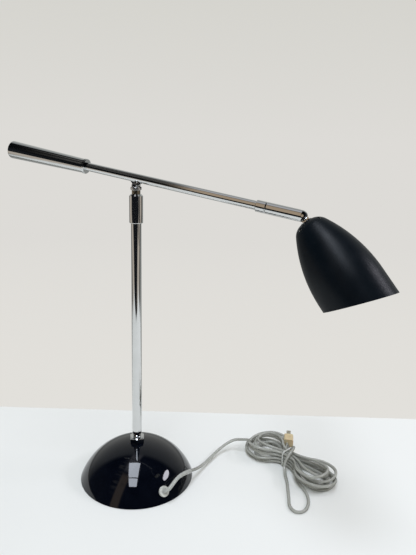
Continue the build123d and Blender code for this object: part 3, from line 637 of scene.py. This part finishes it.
# ---- cord -----------------------------------------------------------------------------
@dataclass(frozen=True)
class Lobe:
    """One end of the hank, where its loops open out, in millimetres and degrees."""

    # 1 at the hank's front end and -1 at its back end
    side: int
    # how far along the hank its loops bend, and how far off the hank's middle it lies
    bend: float
    middle: float
    # half width of its smallest loop, and how far that one reaches past the bend
    half_width: float
    nose: float
    # angle that it swings about the waist
    turn: float
    # how much wider and longer than its ring each loop lies
    wider: Row
    longer: Row


@dataclass(frozen=True)
class HankPlan:
    """Place and winding of the hank, in millimetres and degrees."""

    centre: Pair = (187.8, 106.2)
    heading: float = -24.0
    entry_slant: float = 4.0
    waist_inner: float = 2.6
    waist_step: float = 5.1
    waist_rise: float = 4.6
    waist_layer: float = 4.85
    lobe_step: float = 9.0
    lobe_rise: float = 2.1
    lobe_layer: float = 6.4
    bend_allowance: float = 4.0
    front: Lobe = Lobe(
        1, 52.0, -2.0, 16.5, 14.0, -5.0,
        wider=(1.5, -3.0, 0.5, 3.0, -2.0, -4.0, -1.0, 2.5),
        longer=(-3.0, -5.0, 3.5, 0.5, 5.0, -6.0, -2.0, 4.0),
    )
    back: Lobe = Lobe(
        -1, -42.0, 2.5, 20.5, 17.0, -1.5,
        wider=(5.0, -3.5, -1.0, 1.5, 4.0, -4.5, 0.0, -1.5),
        longer=(4.0, -4.0, 2.0, -2.0, 4.5, -5.0, -1.0, 7.0),
    )
    # ring and layer of each loop in turn, and how much higher than its layer it lies
    loops: tuple[tuple[int, int], ...] = (
        (1, 3), (0, 3), (0, 2), (1, 2), (1, 1), (0, 1), (0, 0), (1, 0),
    )
    lift: Row = (3.0, 1.2, 0.2, 1.0, 0.0, -0.4, 0.0, 0.0)

    def point(self, u: float, v: float, z: float, swing: float = 0.0) -> Vector:
        """Place in the lamp's frame of a point along, across and above the hank.

        Args:
            u: Distance along the hank from its waist.
            v: Distance across it.
            z: Height above the table.
            swing: Angle in degrees that a lobe swings about the waist.
        Returns:
            The place, in millimetres.
        """
        turn = math.radians(self.heading + swing)
        east = self.centre[0] + u * math.cos(turn) - v * math.sin(turn)
        north = self.centre[1] + u * math.sin(turn) + v * math.cos(turn)
        return Vector((east, north, z))

    def way(self, angle: float, slope: float = 0.0) -> Vector:
        """Unit direction at an angle from the hank's length.

        Args:
            angle: Angle in degrees, seen from above.
            slope: Rise for each unit of level travel.
        Returns:
            The direction.
        """
        turn = math.radians(self.heading + angle)
        return Vector((math.cos(turn), math.sin(turn), slope)).normalized()

    def flank(self, lobe: Lobe, loop: int, v_side: int) -> Vector:
        """Widest point of a loop in a lobe.

        Args:
            lobe: The lobe.
            loop: Number of the loop.
            v_side: Side of the hank, 1 or -1.
        Returns:
            The place, in millimetres.
        """
        ring, layer = self.loops[loop]
        half_width = lobe.half_width + ring * self.lobe_step + lobe.wider[loop]
        height = self.lobe_rise + layer * self.lobe_layer + self.lift[loop]
        return self.point(lobe.bend, lobe.middle + v_side * half_width, height, lobe.turn)

    def nose(self, lobe: Lobe, loop: float) -> Vector:
        """Outermost point of a loop in a lobe, or of the step between two loops.

        Args:
            lobe: The lobe.
            loop: Number of the loop, with a half for the step to the next one.
        Returns:
            The place, in millimetres.
        """
        below, above = math.floor(loop), math.ceil(loop)
        ring, layer = ((a + b) / 2 for a, b in zip(self.loops[below], self.loops[above]))
        longer = (lobe.longer[below] + lobe.longer[above]) / 2
        reach = lobe.nose + ring * self.lobe_step + longer
        lift = (self.lift[below] + self.lift[above]) / 2
        height = self.lobe_rise + layer * self.lobe_layer + lift
        return self.point(lobe.bend + lobe.side * reach, lobe.middle, height, lobe.turn)

    def waist(self, loop: int, v_side: int) -> Vector:
        """Place of a loop where the tie draws it in.

        Args:
            loop: Number of the loop.
            v_side: Side of the hank, 1 or -1.
        Returns:
            The place, in millimetres.
        """
        ring, layer = self.loops[loop]
        v = v_side * (self.waist_inner + ring * self.waist_step)
        return self.point(0.0, v, self.waist_rise + layer * self.waist_layer)

    def loop_stations(self) -> list[tuple[Vector, Vector]]:
        """Places and directions that the wound loops go through.

        Returns:
            Pairs of a place in millimetres and a unit direction.
        """
        ahead, behind = self.front.turn, self.back.turn
        stations = [
            (self.flank(self.back, 0, -1), self.way(self.entry_slant + behind)),
            (self.waist(0, -1), self.way(0)),
        ]
        for loop in range(len(self.loops) - 1):
            (ring, layer), (ring_after, layer_after) = self.loops[loop : loop + 2]
            reach = self.front.nose + self.bend_allowance
            bend = math.pi * (reach + (ring + ring_after) / 2 * self.lobe_step)
            climb = (layer_after - layer) * self.lobe_layer / bend
            drift = math.degrees(math.atan((ring_after - ring) * self.lobe_step / bend))
            stations += [
                (self.flank(self.front, loop, -1), self.way(ahead)),
                (self.nose(self.front, loop + 0.5), self.way(ahead + 90 - drift, climb)),
                (self.flank(self.front, loop + 1, 1), self.way(ahead + 180)),
                (self.waist(loop + 1, 1), self.way(180)),
                (self.flank(self.back, loop + 1, 1), self.way(behind + 180)),
                (self.nose(self.back, loop + 1), self.way(behind + 270)),
                (self.flank(self.back, loop + 1, -1), self.way(behind)),
                (self.waist(loop + 1, -1), self.way(0)),
            ]
        return stations


@dataclass(frozen=True)
class HankTie:
    """Soft round tie wound about the hank's waist, in millimetres."""

    half_width: float = 11.1
    low: float = 1.55
    high: float = 22.2
    corner: float = 3.0
    corner_steps: int = 6
    turns: int = 2
    # where along the hank it starts, and how far it gets
    start: float = -4.95
    advance: float = 1.9
    radius: float = 0.7
    sides: int = 10

    def wind(self, plan: HankPlan, finish: Material) -> Object:
        """Wind the tie.

        Args:
            plan: Place of the hank.
            finish: Material of the tie.
        Returns:
            The tie.
        """
        right = self.half_width - self.corner
        bottom, top = self.low + self.corner, self.high - self.corner
        corners = ((right, bottom, -90), (right, top, 0), (-right, top, 90), (-right, bottom, 180))
        turn = []
        for v, z, angle in corners:
            for step in range(self.corner_steps + 1):
                way = math.radians(angle + step * 90 / self.corner_steps)
                turn.append((v + self.corner * math.cos(way), z + self.corner * math.sin(way)))
        line = []
        for k in range(self.turns * len(turn) + 1):
            v, z = turn[k % len(turn)]
            u = self.start + self.advance * k / len(turn) / self.turns
            line.append(plan.point(u, v, z) * MM)
        size = np.full(len(line), self.radius * MM)
        return add_tubes("hank_wrap", finish, [np.array(line)], [size], self.sides)


@dataclass(frozen=True)
class CordSet:
    """Clear twin flex with its gland, sleeve, tied hank and plug, in millimetres."""

    plan: HankPlan = HankPlan()
    tie: HankTie = HankTie()
    diameter: float = 4.2
    dome_rim: float = 76.0
    dome_height: float = 51.0
    gland_centre: Triple = (58.4, -37.0, 13.2)
    gland_height: float = 3.2
    sleeve_first_run: float = 7.8
    sleeve_length: float = 62.0
    sleeve_step: float = 1.0
    sleeve_sides: int = 24
    # share of the sleeve's length, and its radius there
    sleeve_profile: tuple[Pair, ...] = (
        (0.0, 3.3), (0.03, 3.3), (0.06, 2.4), (0.3, 2.4),
        (0.62, 2.55), (0.9, 2.9), (0.97, 2.8), (1.0, 2.25),
    )
    # the lead: off the dome and down beside it, then along the table to the hank's top
    off_dome: tuple[Triple, ...] = (
        (69.4, -33.0, 24.8), (70.8, -20.5, 27.0), (73.6, -6.0, 24.6), (75.6, 11.7, 17.9),
    )
    lead_first_run: float = 26.0
    to_hank: tuple[Triple, ...] = (
        (81.2, 62.5, 6.2), (86.0, 86.5, 8.0), (93.0, 102.0, 12.0), (103.0, 110.2, 17.2),
        (115.6, 110.65, 20.0),
    )
    # where the cord leaves the hank's loops, along and across it, and which way
    hank_exit: Pair = (34.0, -22.0)
    exit_rise: float = 0.3
    exit_angle: float = -34.0
    # height of the cord's middle on the table, and the long loop that lies there
    table: float = 2.1
    table_loop: tuple[Pair, ...] = (
        (211.0, 66.0), (222.5, 53.5), (230.0, 39.5), (232.5, 24.0), (229.5, 11.0),
        (219.8, 6.0), (210.5, 13.5), (206.5, 28.0), (202.0, 43.0), (196.0, 62.0),
    )
    # back over the waist to the plug
    over_waist: tuple[Triple, ...] = (
        (189.0, 77.0, 4.0), (185.5, 85.0, 13.0), (189.0, 90.5, 22.5), (192.5, 99.0, 28.0),
        (193.0, 108.0, 28.0), (190.8, 118.5, 22.0), (185.2, 126.5, 13.8),
    )
    plug_rear: Triple = (179.2, 135.4, 12.0)
    plug_way: Triple = (-0.217, 0.976, 0.0)
    # the two bare strands: how far off the flex's middle, how thick, and one twist's length
    pair_radius: float = 0.98
    strand_radius: float = 0.95
    strand_sides: int = 8
    pair_pitch: float = 95.0
    pair_step: float = 1.2

    def dome_normal(self) -> Vector:
        """Direction in which the gland stands off the domed base."""
        sphere = (self.dome_rim**2 + self.dome_height**2) / (2 * self.dome_height)
        return (Vector(self.gland_centre) - Vector((0, 0, self.dome_height - sphere))).normalized()

    def bend_points(
        self, start: Vector, start_way: Vector, end: Vector, end_way: Vector
    ) -> list[Vector]:
        """Two points of the route that carry it from one station to the next.

        Args:
            start: Place of the first station.
            start_way: Direction there.
            end: Place of the next station.
            end_way: Direction there.
        Returns:
            The point ahead of the first station and the point behind the next.
        """
        chord = end - start
        opening = 1 - start_way.dot(end_way)
        lean = chord.dot(start_way + end_way)
        arm = (math.sqrt(lean**2 + 2 * opening * chord.dot(chord)) - lean) / (2 * opening)
        return [start + start_way * arm, end - end_way * arm]

    def route(self) -> list[Vector]:
        """Points of the whole cord's route, from the gland to the plug.

        Returns:
            The points, in millimetres.
        """
        plan = self.plan
        out = self.dome_normal()
        face = Vector(self.gland_centre) + out * self.gland_height
        points = [face, face + out * self.sleeve_first_run, *map(Vector, self.off_dome)]
        points.append(points[-1] + (points[-1] - points[-2]).normalized() * self.lead_first_run)
        points += map(Vector, self.to_hank)
        entry = (points[-1] - points[-2]).normalized()
        stations = [(points[-1] + entry * self.diameter, entry)]
        stations += plan.loop_stations()
        leaving = plan.point(*self.hank_exit, self.table + self.exit_rise)
        stations.append((leaving, plan.way(self.exit_angle)))
        for (start, start_way), (end, end_way) in zip(stations, stations[1:]):
            points += self.bend_points(start, start_way, end, end_way)
        points += [Vector((*spot, self.table)) for spot in self.table_loop]
        points += map(Vector, self.over_waist)
        plug_rear = Vector(self.plug_rear)
        points += [plug_rear - Vector(self.plug_way).normalized() * self.diameter, plug_rear]
        return points

    def flex_curve(self) -> Object:
        """Lay the flex's jacket as one open spline along the route.

        Returns:
            The curve object, still without its thickness.
        """
        route = self.route()
        curve = bpy.data.curves.new("cord_flex", "CURVE")
        curve.dimensions = "3D"
        curve.resolution_u = 10
        spline = curve.splines.new("NURBS")
        spline.points.add(len(route) - 1)
        for knot, place in zip(spline.points, route):
            knot.co = (*(place * MM), 1.0)
        spline.order_u = 3
        spline.use_endpoint_u = True
        return add_object("cord_flex", curve)

    def centre_line(self, flex: Object) -> np.ndarray:
        """Read the points that a spline gives while it has no bevel.

        Args:
            flex: The curve object.
        Returns:
            The points in metres, one a row.
        """
        mesh = bpy.data.meshes.new_from_object(flex)
        line = np.array([v.co for v in mesh.vertices], float).reshape(-1, 3)
        bpy.data.meshes.remove(mesh)
        return line

    def strands(self, line: np.ndarray) -> Object:
        """Twist two bare strands round each other along the flex's middle.

        Args:
            line: Points down the middle of the flex.
        Returns:
            The pair of strands.
        """
        middle = evenly(line, self.pair_step * MM)[1:-1]
        first, second = carried_frames(middle)
        turn = np.arange(len(middle)) * self.pair_step * 2 * math.pi / self.pair_pitch
        across = np.cos(turn)[:, None] * first + np.sin(turn)[:, None] * second
        reach = self.pair_radius * MM * across
        size = np.full(len(middle), self.strand_radius * MM)
        pair = [middle + reach, middle - reach]
        bare = TINNED_STRAND.material()
        return add_tubes("cord_strands", bare, pair, [size, size], self.strand_sides)

    def sleeve(self, line: np.ndarray) -> Object:
        """Taper the relief sleeve along the cord's first stretch.

        Args:
            line: Points down the middle of the flex.
        Returns:
            The sleeve.
        """
        middle = evenly(line, self.sleeve_step * MM)
        middle = middle[: round(self.sleeve_length / self.sleeve_step)]
        stops, sizes = zip(*self.sleeve_profile)
        size = np.interp(np.linspace(0, 1, len(middle)), stops, sizes) * MM
        clear = SLEEVE_VINYL.material()
        return add_tubes("relief_sleeve", clear, [middle], [size], self.sleeve_sides)

    def build(self) -> None:
        milky = MILKY_VINYL.material()
        flex = self.flex_curve()
        line = self.centre_line(flex)
        flex.data.bevel_depth = self.diameter / 2 * MM
        flex.data.bevel_resolution = 4
        flex.data.use_fill_caps = True
        flex.data.materials.append(EXTRUDED_VINYL.material())
        pair = self.strands(line)
        sleeve = self.sleeve(line)
        wrap = self.tie.wind(self.plan, milky)
        dress(milky, "cord_gland")
        dress(MOULDED_IVORY.material(), "plug_body")
        dress(PLATED_BLADES.material(), "plug_blades")
        for piece in (flex, pair, sleeve, wrap):
            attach(piece, "stand")
            log.info("%s rides on the stand", piece.name)
        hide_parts("cord_lead", "cord_hank")
        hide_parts("cord_relief")
        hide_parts("hank_tie")
        length = float(np.linalg.norm(np.diff(line, axis=0), axis=1).sum())
        log.info("flex spline is %.3f m long", length)


# ---- studio -----------------------------------------------------------------------------
@dataclass(frozen=True)
class RoomPatch:
    """A lit part of the room that the arm mirrors, with soft edges."""

    colour: str
    # where it fades in and out along the arm, and round it in radians
    along: Row
    round: Row
    # values of the noise between which it comes through
    noise: Pair


class LampFace(Enum):
    """Outline of a lamp's face."""

    PANE = "RECTANGLE"
    OVAL = "ELLIPSE"


@dataclass(frozen=True)
class SoftLamp:
    """A broad lamp that the camera doesn't see."""

    name: str
    # its middle, and the point that it faces
    place: Vector
    aim: Vector
    # its width across the camera's view, and its length
    size: Pair
    # brightness of its face, where one is a lit white
    radiance: float
    tint: str
    face: LampFace = LampFace.PANE

    def build(self, unlit: Collection) -> None:
        """Hang the lamp.

        Args:
            unlit: The nodes that it leaves dark.
        """
        data = bpy.data.lights.new(self.name, "AREA")
        data.shape = self.face.value
        data.size, data.size_y = self.size
        data.energy = self.radiance * math.pi * self.size[0] * self.size[1]
        data.color = linear(self.tint)[:3]
        lamp = add_object(self.name, data)
        back = (self.place - self.aim).normalized()
        # a lamp that faces more across the view than not takes its width from the depth
        facing_across = abs(back.dot(Vector(CAMERA_RIGHT))) > 0.5
        across = Vector(TOWARD_CAMERA if facing_across else CAMERA_RIGHT)
        across = (across - back * across.dot(back)).normalized()
        turn = Matrix((across, back.cross(across), back)).transposed().to_4x4()
        lamp.matrix_world = Matrix.Translation(self.place) @ turn
        lamp.visible_camera = False
        lamp.light_linking.receiver_collection = unlit


@dataclass(frozen=True)
class Studio:
    """Pale table and backdrop, soft light and the photograph's camera."""

    # where the camera stands, its own right, up and back, and its lens in millimetres
    camera_place: Triple = (0.3196, -0.5767, 0.4524)
    camera_axes: tuple[Triple, Triple, Triple] = (
        (0.9292, 0.3685, 0.0292), (-0.1192, 0.2238, 0.9673), (0.3499, -0.9023, 0.2519),
    )
    lens: float = 35.03
    sensor_width: float = 36.0
    # the table: its far line at the wall, its front edge, and half the side of its mesh
    wall_line: float = 0.174
    table_front: float = 0.66
    floor_half: float = 20.0
    table_white: str = "#E8E9E5"
    # the backdrop, by the table, at the horizon and high up
    wall_low: str = "#E2E0DB"
    wall_level: str = "#DDDBD7"
    wall_high: str = "#D4D3CD"
    # what metal mirrors: the wall behind the lamp, the rest of the room, and the room's
    # floor, each from its dark to its pale tone
    mirrored_wall: tuple[str, str] = ("#85898A", "#C4C5C2")
    mirrored_room: tuple[str, str] = ("#0A0B0D", "#2C2F34")
    mirrored_floor: str = "#16181C"
    # over that floor: warm, dim and pale, and between which radians off its middle each
    # comes in
    floor_middle: float = 0.17
    floor_bands: tuple[tuple[str, float, float], ...] = (
        ("#C2B9AE", 0.4, 0.62), ("#3F3E3D", 1.15, 1.5), ("#A2A4A2", 1.35, 2.3),
    )
    # how fine the room's streaks are along the arm and round it
    streak_scale: Triple = (2.5, 9.0, 1.0)
    patches: tuple[RoomPatch, ...] = (
        # warm, low at the shade's end of the arm
        RoomPatch("#B3A08A", (-0.42, -0.36, -0.1, -0.18), (-0.02, 0.08, 1.2, 1.0), (0.0, 0.35)),
        # pale, above that
        RoomPatch("#BDBEC2", (-0.42, -0.36, -0.1, -0.18), (1.15, 1.3, 2.5, 2.3), (0.1, 0.4)),
        # grey streaks along the middle of the arm
        RoomPatch("#A6A4A0", (-0.62, -0.52, -0.3, -0.44), (0.3, 0.7, 2.7, 2.2), (0.42, 0.85)),
        # a pale strip near the top of the whole arm
        RoomPatch("#A9A8A6", (-0.9, -0.7, -0.36, -0.46), (1.75, 1.95, 2.75, 2.5), (0.3, 0.55)),
    )
    # light that comes evenly from the room
    fill: float = 0.42
    fill_tint: Triple = (1.03, 1.0, 0.93)
    # the window's panes, high up: where each starts and ends toward the camera
    panes: tuple[tuple[str, float, float], ...] = (
        ("near_pane", 4.4, 7.6), ("far_pane", -0.12, 4.08),
    )
    pane_right: float = -0.6
    pane_width: float = 2.64
    window_height: float = 8.0
    window_radiance: float = 9.8
    # the side window: toward the camera, to the right and up
    side_place: Triple = (0.03, 1.46, 1.07)
    side_aim: Triple = (0.05, 0.0, 0.1)
    side_size: Pair = (0.68, 0.27)
    side_radiance: float = 10.0
    # in the photograph these mirror neither window
    unlit_nodes: tuple[str, ...] = (
        "arm_rod", "arm_collar", "head_sleeve", "counterweight", "weight_collar", "post_sleeve",
    )

    def build(self) -> None:
        """Set the view transform and build the studio."""
        bpy.context.scene.view_settings.view_transform = "Standard"
        self.build_camera()
        self.build_world()
        self.build_floor()
        self.build_lamps()

    def build_camera(self) -> None:
        """Place the camera where the photograph was taken from."""
        data = bpy.data.cameras.new("camera")
        data.sensor_width = self.sensor_width
        data.lens = self.lens
        data.clip_start = 0.01
        camera = add_object("camera", data)
        turn = Matrix(self.camera_axes).transposed().to_4x4()
        camera.matrix_world = Matrix.Translation(self.camera_place) @ turn
        bpy.context.scene.camera = camera

    def build_world(self) -> None:
        """Make the room: pale backdrop, and the wall and dark room that metal mirrors."""
        world = bpy.data.worlds.new("studio_room")
        bpy.context.scene.world = world
        add = cleared(world)
        sight = add("TexCoord").outputs["Generated"]
        toward, side, along, above, nearer, height = (
            add("VectorMath", {"operation": "DOT_PRODUCT", 0: sight, 1: way})
            for way in (TOWARD_CAMERA, CAMERA_RIGHT, ARM_AXIS, ARM_UP, ARM_NEAR_SIDE, UPWARD)
        )
        aside = add("Math", {"operation": "ABSOLUTE", 0: side})
        flank, wall_face, wall_ends, wall_light, rise = (
            add("MapRange", {"interpolation_type": fade.value, "Value": value, **ends})
            for value, fade, ends in (
                (aside, Fade.SOFT, {"From Min": 0.72, "From Max": 0.97}),
                (toward, Fade.SOFT, {"From Min": -0.22, "From Max": -0.4}),
                (aside, Fade.SOFT, {"From Min": 0.98, "From Max": 0.74, "To Min": 0.45}),
                (toward, Fade.EVEN, {"From Min": -0.3, "From Max": -0.9}),
                (height, Fade.EVEN, {"From Min": 0.0, "From Max": 0.26}),
            )
        )
        wall_tone, room, backdrop = (
            add("Mix", {"data_type": "RGBA", 0: share, 6: linear(first), 7: linear(last)})
            for share, (first, last) in (
                (wall_light, self.mirrored_wall),
                (flank, self.mirrored_room),
                (rise, (self.wall_level, self.wall_high)),
            )
        )
        # A chart of the room as the arm mirrors it: along the arm, and the angle round it
        # from level on the viewer's side, through straight up.
        angle = add("Math", {"operation": "ARCTAN2", 0: above, 1: nearer})
        chart = add("CombineXYZ", {"X": along, "Y": angle})
        scaled = add("Mapping", {"Scale": self.streak_scale, "Vector": chart})
        flat_noise = {"noise_dimensions": "2D", "Scale": 1.0, "Detail": 1.5}
        streaks = add("TexNoise", {**flat_noise, "Vector": scaled})
        for patch in self.patches:
            share = 1.0
            for value, fade, (start, end) in (
                (streaks, Fade.EVEN, patch.noise),
                (along, Fade.SOFT, patch.along[:2]),
                (along, Fade.SOFT, patch.along[2:]),
                (angle, Fade.SOFT, patch.round[:2]),
                (angle, Fade.SOFT, patch.round[2:]),
            ):
                ends = {"From Min": start, "From Max": end}
                mask = add("MapRange", {"interpolation_type": fade.value, "Value": value, **ends})
                share = add("Math", {"operation": "MULTIPLY", 0: share, 1: mask})
            room = add("Mix", {"data_type": "RGBA", 0: share, 6: room, 7: linear(patch.colour)})
        wall = add("Math", {"operation": "MULTIPLY", 0: wall_face, 1: wall_ends})
        path = add("LightPath").outputs
        sights = {0: path["Is Camera Ray"], 1: path["Is Transmission Ray"]}
        seen = add("Math", {"operation": "MAXIMUM", **sights})
        # The light that falls on the lamp, over it what metal mirrors, and what is seen.
        shown = (*(self.fill * part for part in self.fill_tint), 1.0)
        mirrored = add("Mix", {"data_type": "RGBA", 0: wall, 6: room, 7: wall_tone})
        for share, tone in ((path["Is Glossy Ray"], mirrored), (seen, backdrop)):
            shown = add("Mix", {"data_type": "RGBA", 0: share, 6: shown, 7: tone})
        add("OutputWorld", {"Surface": add("Background", {"Color": shown})})

    def build_floor(self) -> None:
        """Lay the table top, with the backdrop's tone beyond the wall's line."""
        half = self.floor_half
        corners = [(-half, -half, 0), (half, -half, 0), (half, half, 0), (-half, half, 0)]
        mesh = bpy.data.meshes.new("table_top")
        mesh.from_pydata(corners, [], [(0, 1, 2, 3)])
        material = bpy.data.materials.new("matt_white_board")
        add = cleared(material)
        place = add("TexCoord").outputs["Object"]
        toward, side = (
            add("VectorMath", {"operation": "DOT_PRODUCT", 0: place, 1: way})
            for way in (TOWARD_CAMERA, CAMERA_RIGHT)
        )
        reach = add("VectorMath", {"operation": "LENGTH", 0: place})
        aside = add("Math", {"operation": "ABSOLUTE", 0: side})
        line, front = -self.wall_line, self.table_front
        behind, depth, far, in_front, flank, widening = (
            add("MapRange", {"interpolation_type": fade.value, "Value": value, **ends})
            for value, fade, ends in (
                (toward, Fade.EVEN, {"From Min": line, "From Max": line - 1.5 * MM}),
                (toward, Fade.EVEN, {"From Min": line, "From Max": -1.7}),
                (reach, Fade.SOFT, {"From Min": 0.7, "From Max": 1.4}),
                (toward, Fade.SOFT, {"From Min": front - 0.03, "From Max": front + 0.05}),
                (aside, Fade.SOFT, {"From Min": 0.6, "From Max": 0.85}),
                (reach, Fade.EVEN, {"From Min": 0.8, "From Max": 2.6, "To Max": 0.62}),
            )
        )
        low, level, white = map(linear, (self.wall_low, self.wall_level, self.table_white))
        backdrop = add("Mix", {"data_type": "RGBA", 0: depth, 6: low, 7: level})
        tone = add("Mix", {"data_type": "RGBA", 0: behind, 6: white, 7: backdrop})
        # Far off and behind the wall's line the board takes no shadow.
        path = add("LightPath").outputs
        unshaded = add("Math", {"operation": "MAXIMUM", 0: far, 1: behind})
        direct = add("Math", {"operation": "SUBTRACT", 0: 1.0, 1: path["Is Diffuse Ray"]})
        share = add("Math", {"operation": "MULTIPLY", 0: unshaded, 1: direct})
        board, glow = add("BsdfDiffuse", {"Color": tone}), add("Emission", {"Color": tone})
        pale = add("MixShader", {0: share, 1: board, 2: glow})
        # Beyond the table metal mirrors the room's floor, dark in the middle in front.
        bearing = add("Math", {"operation": "ARCTAN2", 0: side, 1: toward})
        off_middle = add("Math", {"operation": "ADD", 0: bearing, 1: self.floor_middle})
        spread = add("Math", {"operation": "ABSOLUTE", 0: off_middle})
        narrowed = add("Math", {"operation": "SUBTRACT", 0: spread, 1: widening})
        room = linear(self.mirrored_floor)
        for colour, start, end in self.floor_bands:
            ends = {"interpolation_type": Fade.SOFT.value, "From Min": start, "From Max": end}
            band = add("MapRange", {"Value": narrowed, **ends})
            room = add("Mix", {"data_type": "RGBA", 0: band, 6: room, 7: linear(colour)})
        mirrored = in_front
        for operation, other in (
            ("MAXIMUM", flank), ("MAXIMUM", behind), ("MULTIPLY", path["Is Glossy Ray"]),
        ):
            mirrored = add("Math", {"operation": operation, 0: mirrored, 1: other})
        beyond = add("Emission", {"Color": room})
        surface = add("MixShader", {0: mirrored, 1: pale, 2: beyond})
        add("OutputMaterial", {"Surface": surface})
        mesh.materials.append(material)
        add_object("table_top", mesh)

    def build_lamps(self) -> None:
        """Hang a window of two panes above the camera's side, and a small one at the right."""
        toward, right = Vector(TOWARD_CAMERA), Vector(CAMERA_RIGHT)
        unlit = bpy.data.collections.new("out_of_window_light")
        for node in self.unlit_nodes:
            unlit.objects.link(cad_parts[node])
        for member in unlit.collection_objects:
            member.light_linking.link_state = "EXCLUDE"
        for name, start, end in self.panes:
            middle = toward * (start + end) / 2 + right * self.pane_right
            middle.z = self.window_height
            below = middle - Vector(UPWARD)
            size = (self.pane_width, end - start)
            SoftLamp(name, middle, below, size, self.window_radiance, "#EAF2FF").build(unlit)
        place = toward * self.side_place[0] + right * self.side_place[1]
        place.z = self.side_place[2]
        SoftLamp(
            "side_window", place, Vector(self.side_aim), self.side_size, self.side_radiance,
            "#F6F4FF", LampFace.OVAL,
        ).build(unlit)


def main() -> None:
    """Build the studio and dress the lamp, one sub-assembly after another."""
    logging.basicConfig(level=logging.INFO, format="%(name)s %(message)s")
    Studio().build()
    CordSet().build()
    Base().build()
    Post().build()
    BalanceArm().build()
    ShadeHead().build()


if __name__ == "__main__":
    main()
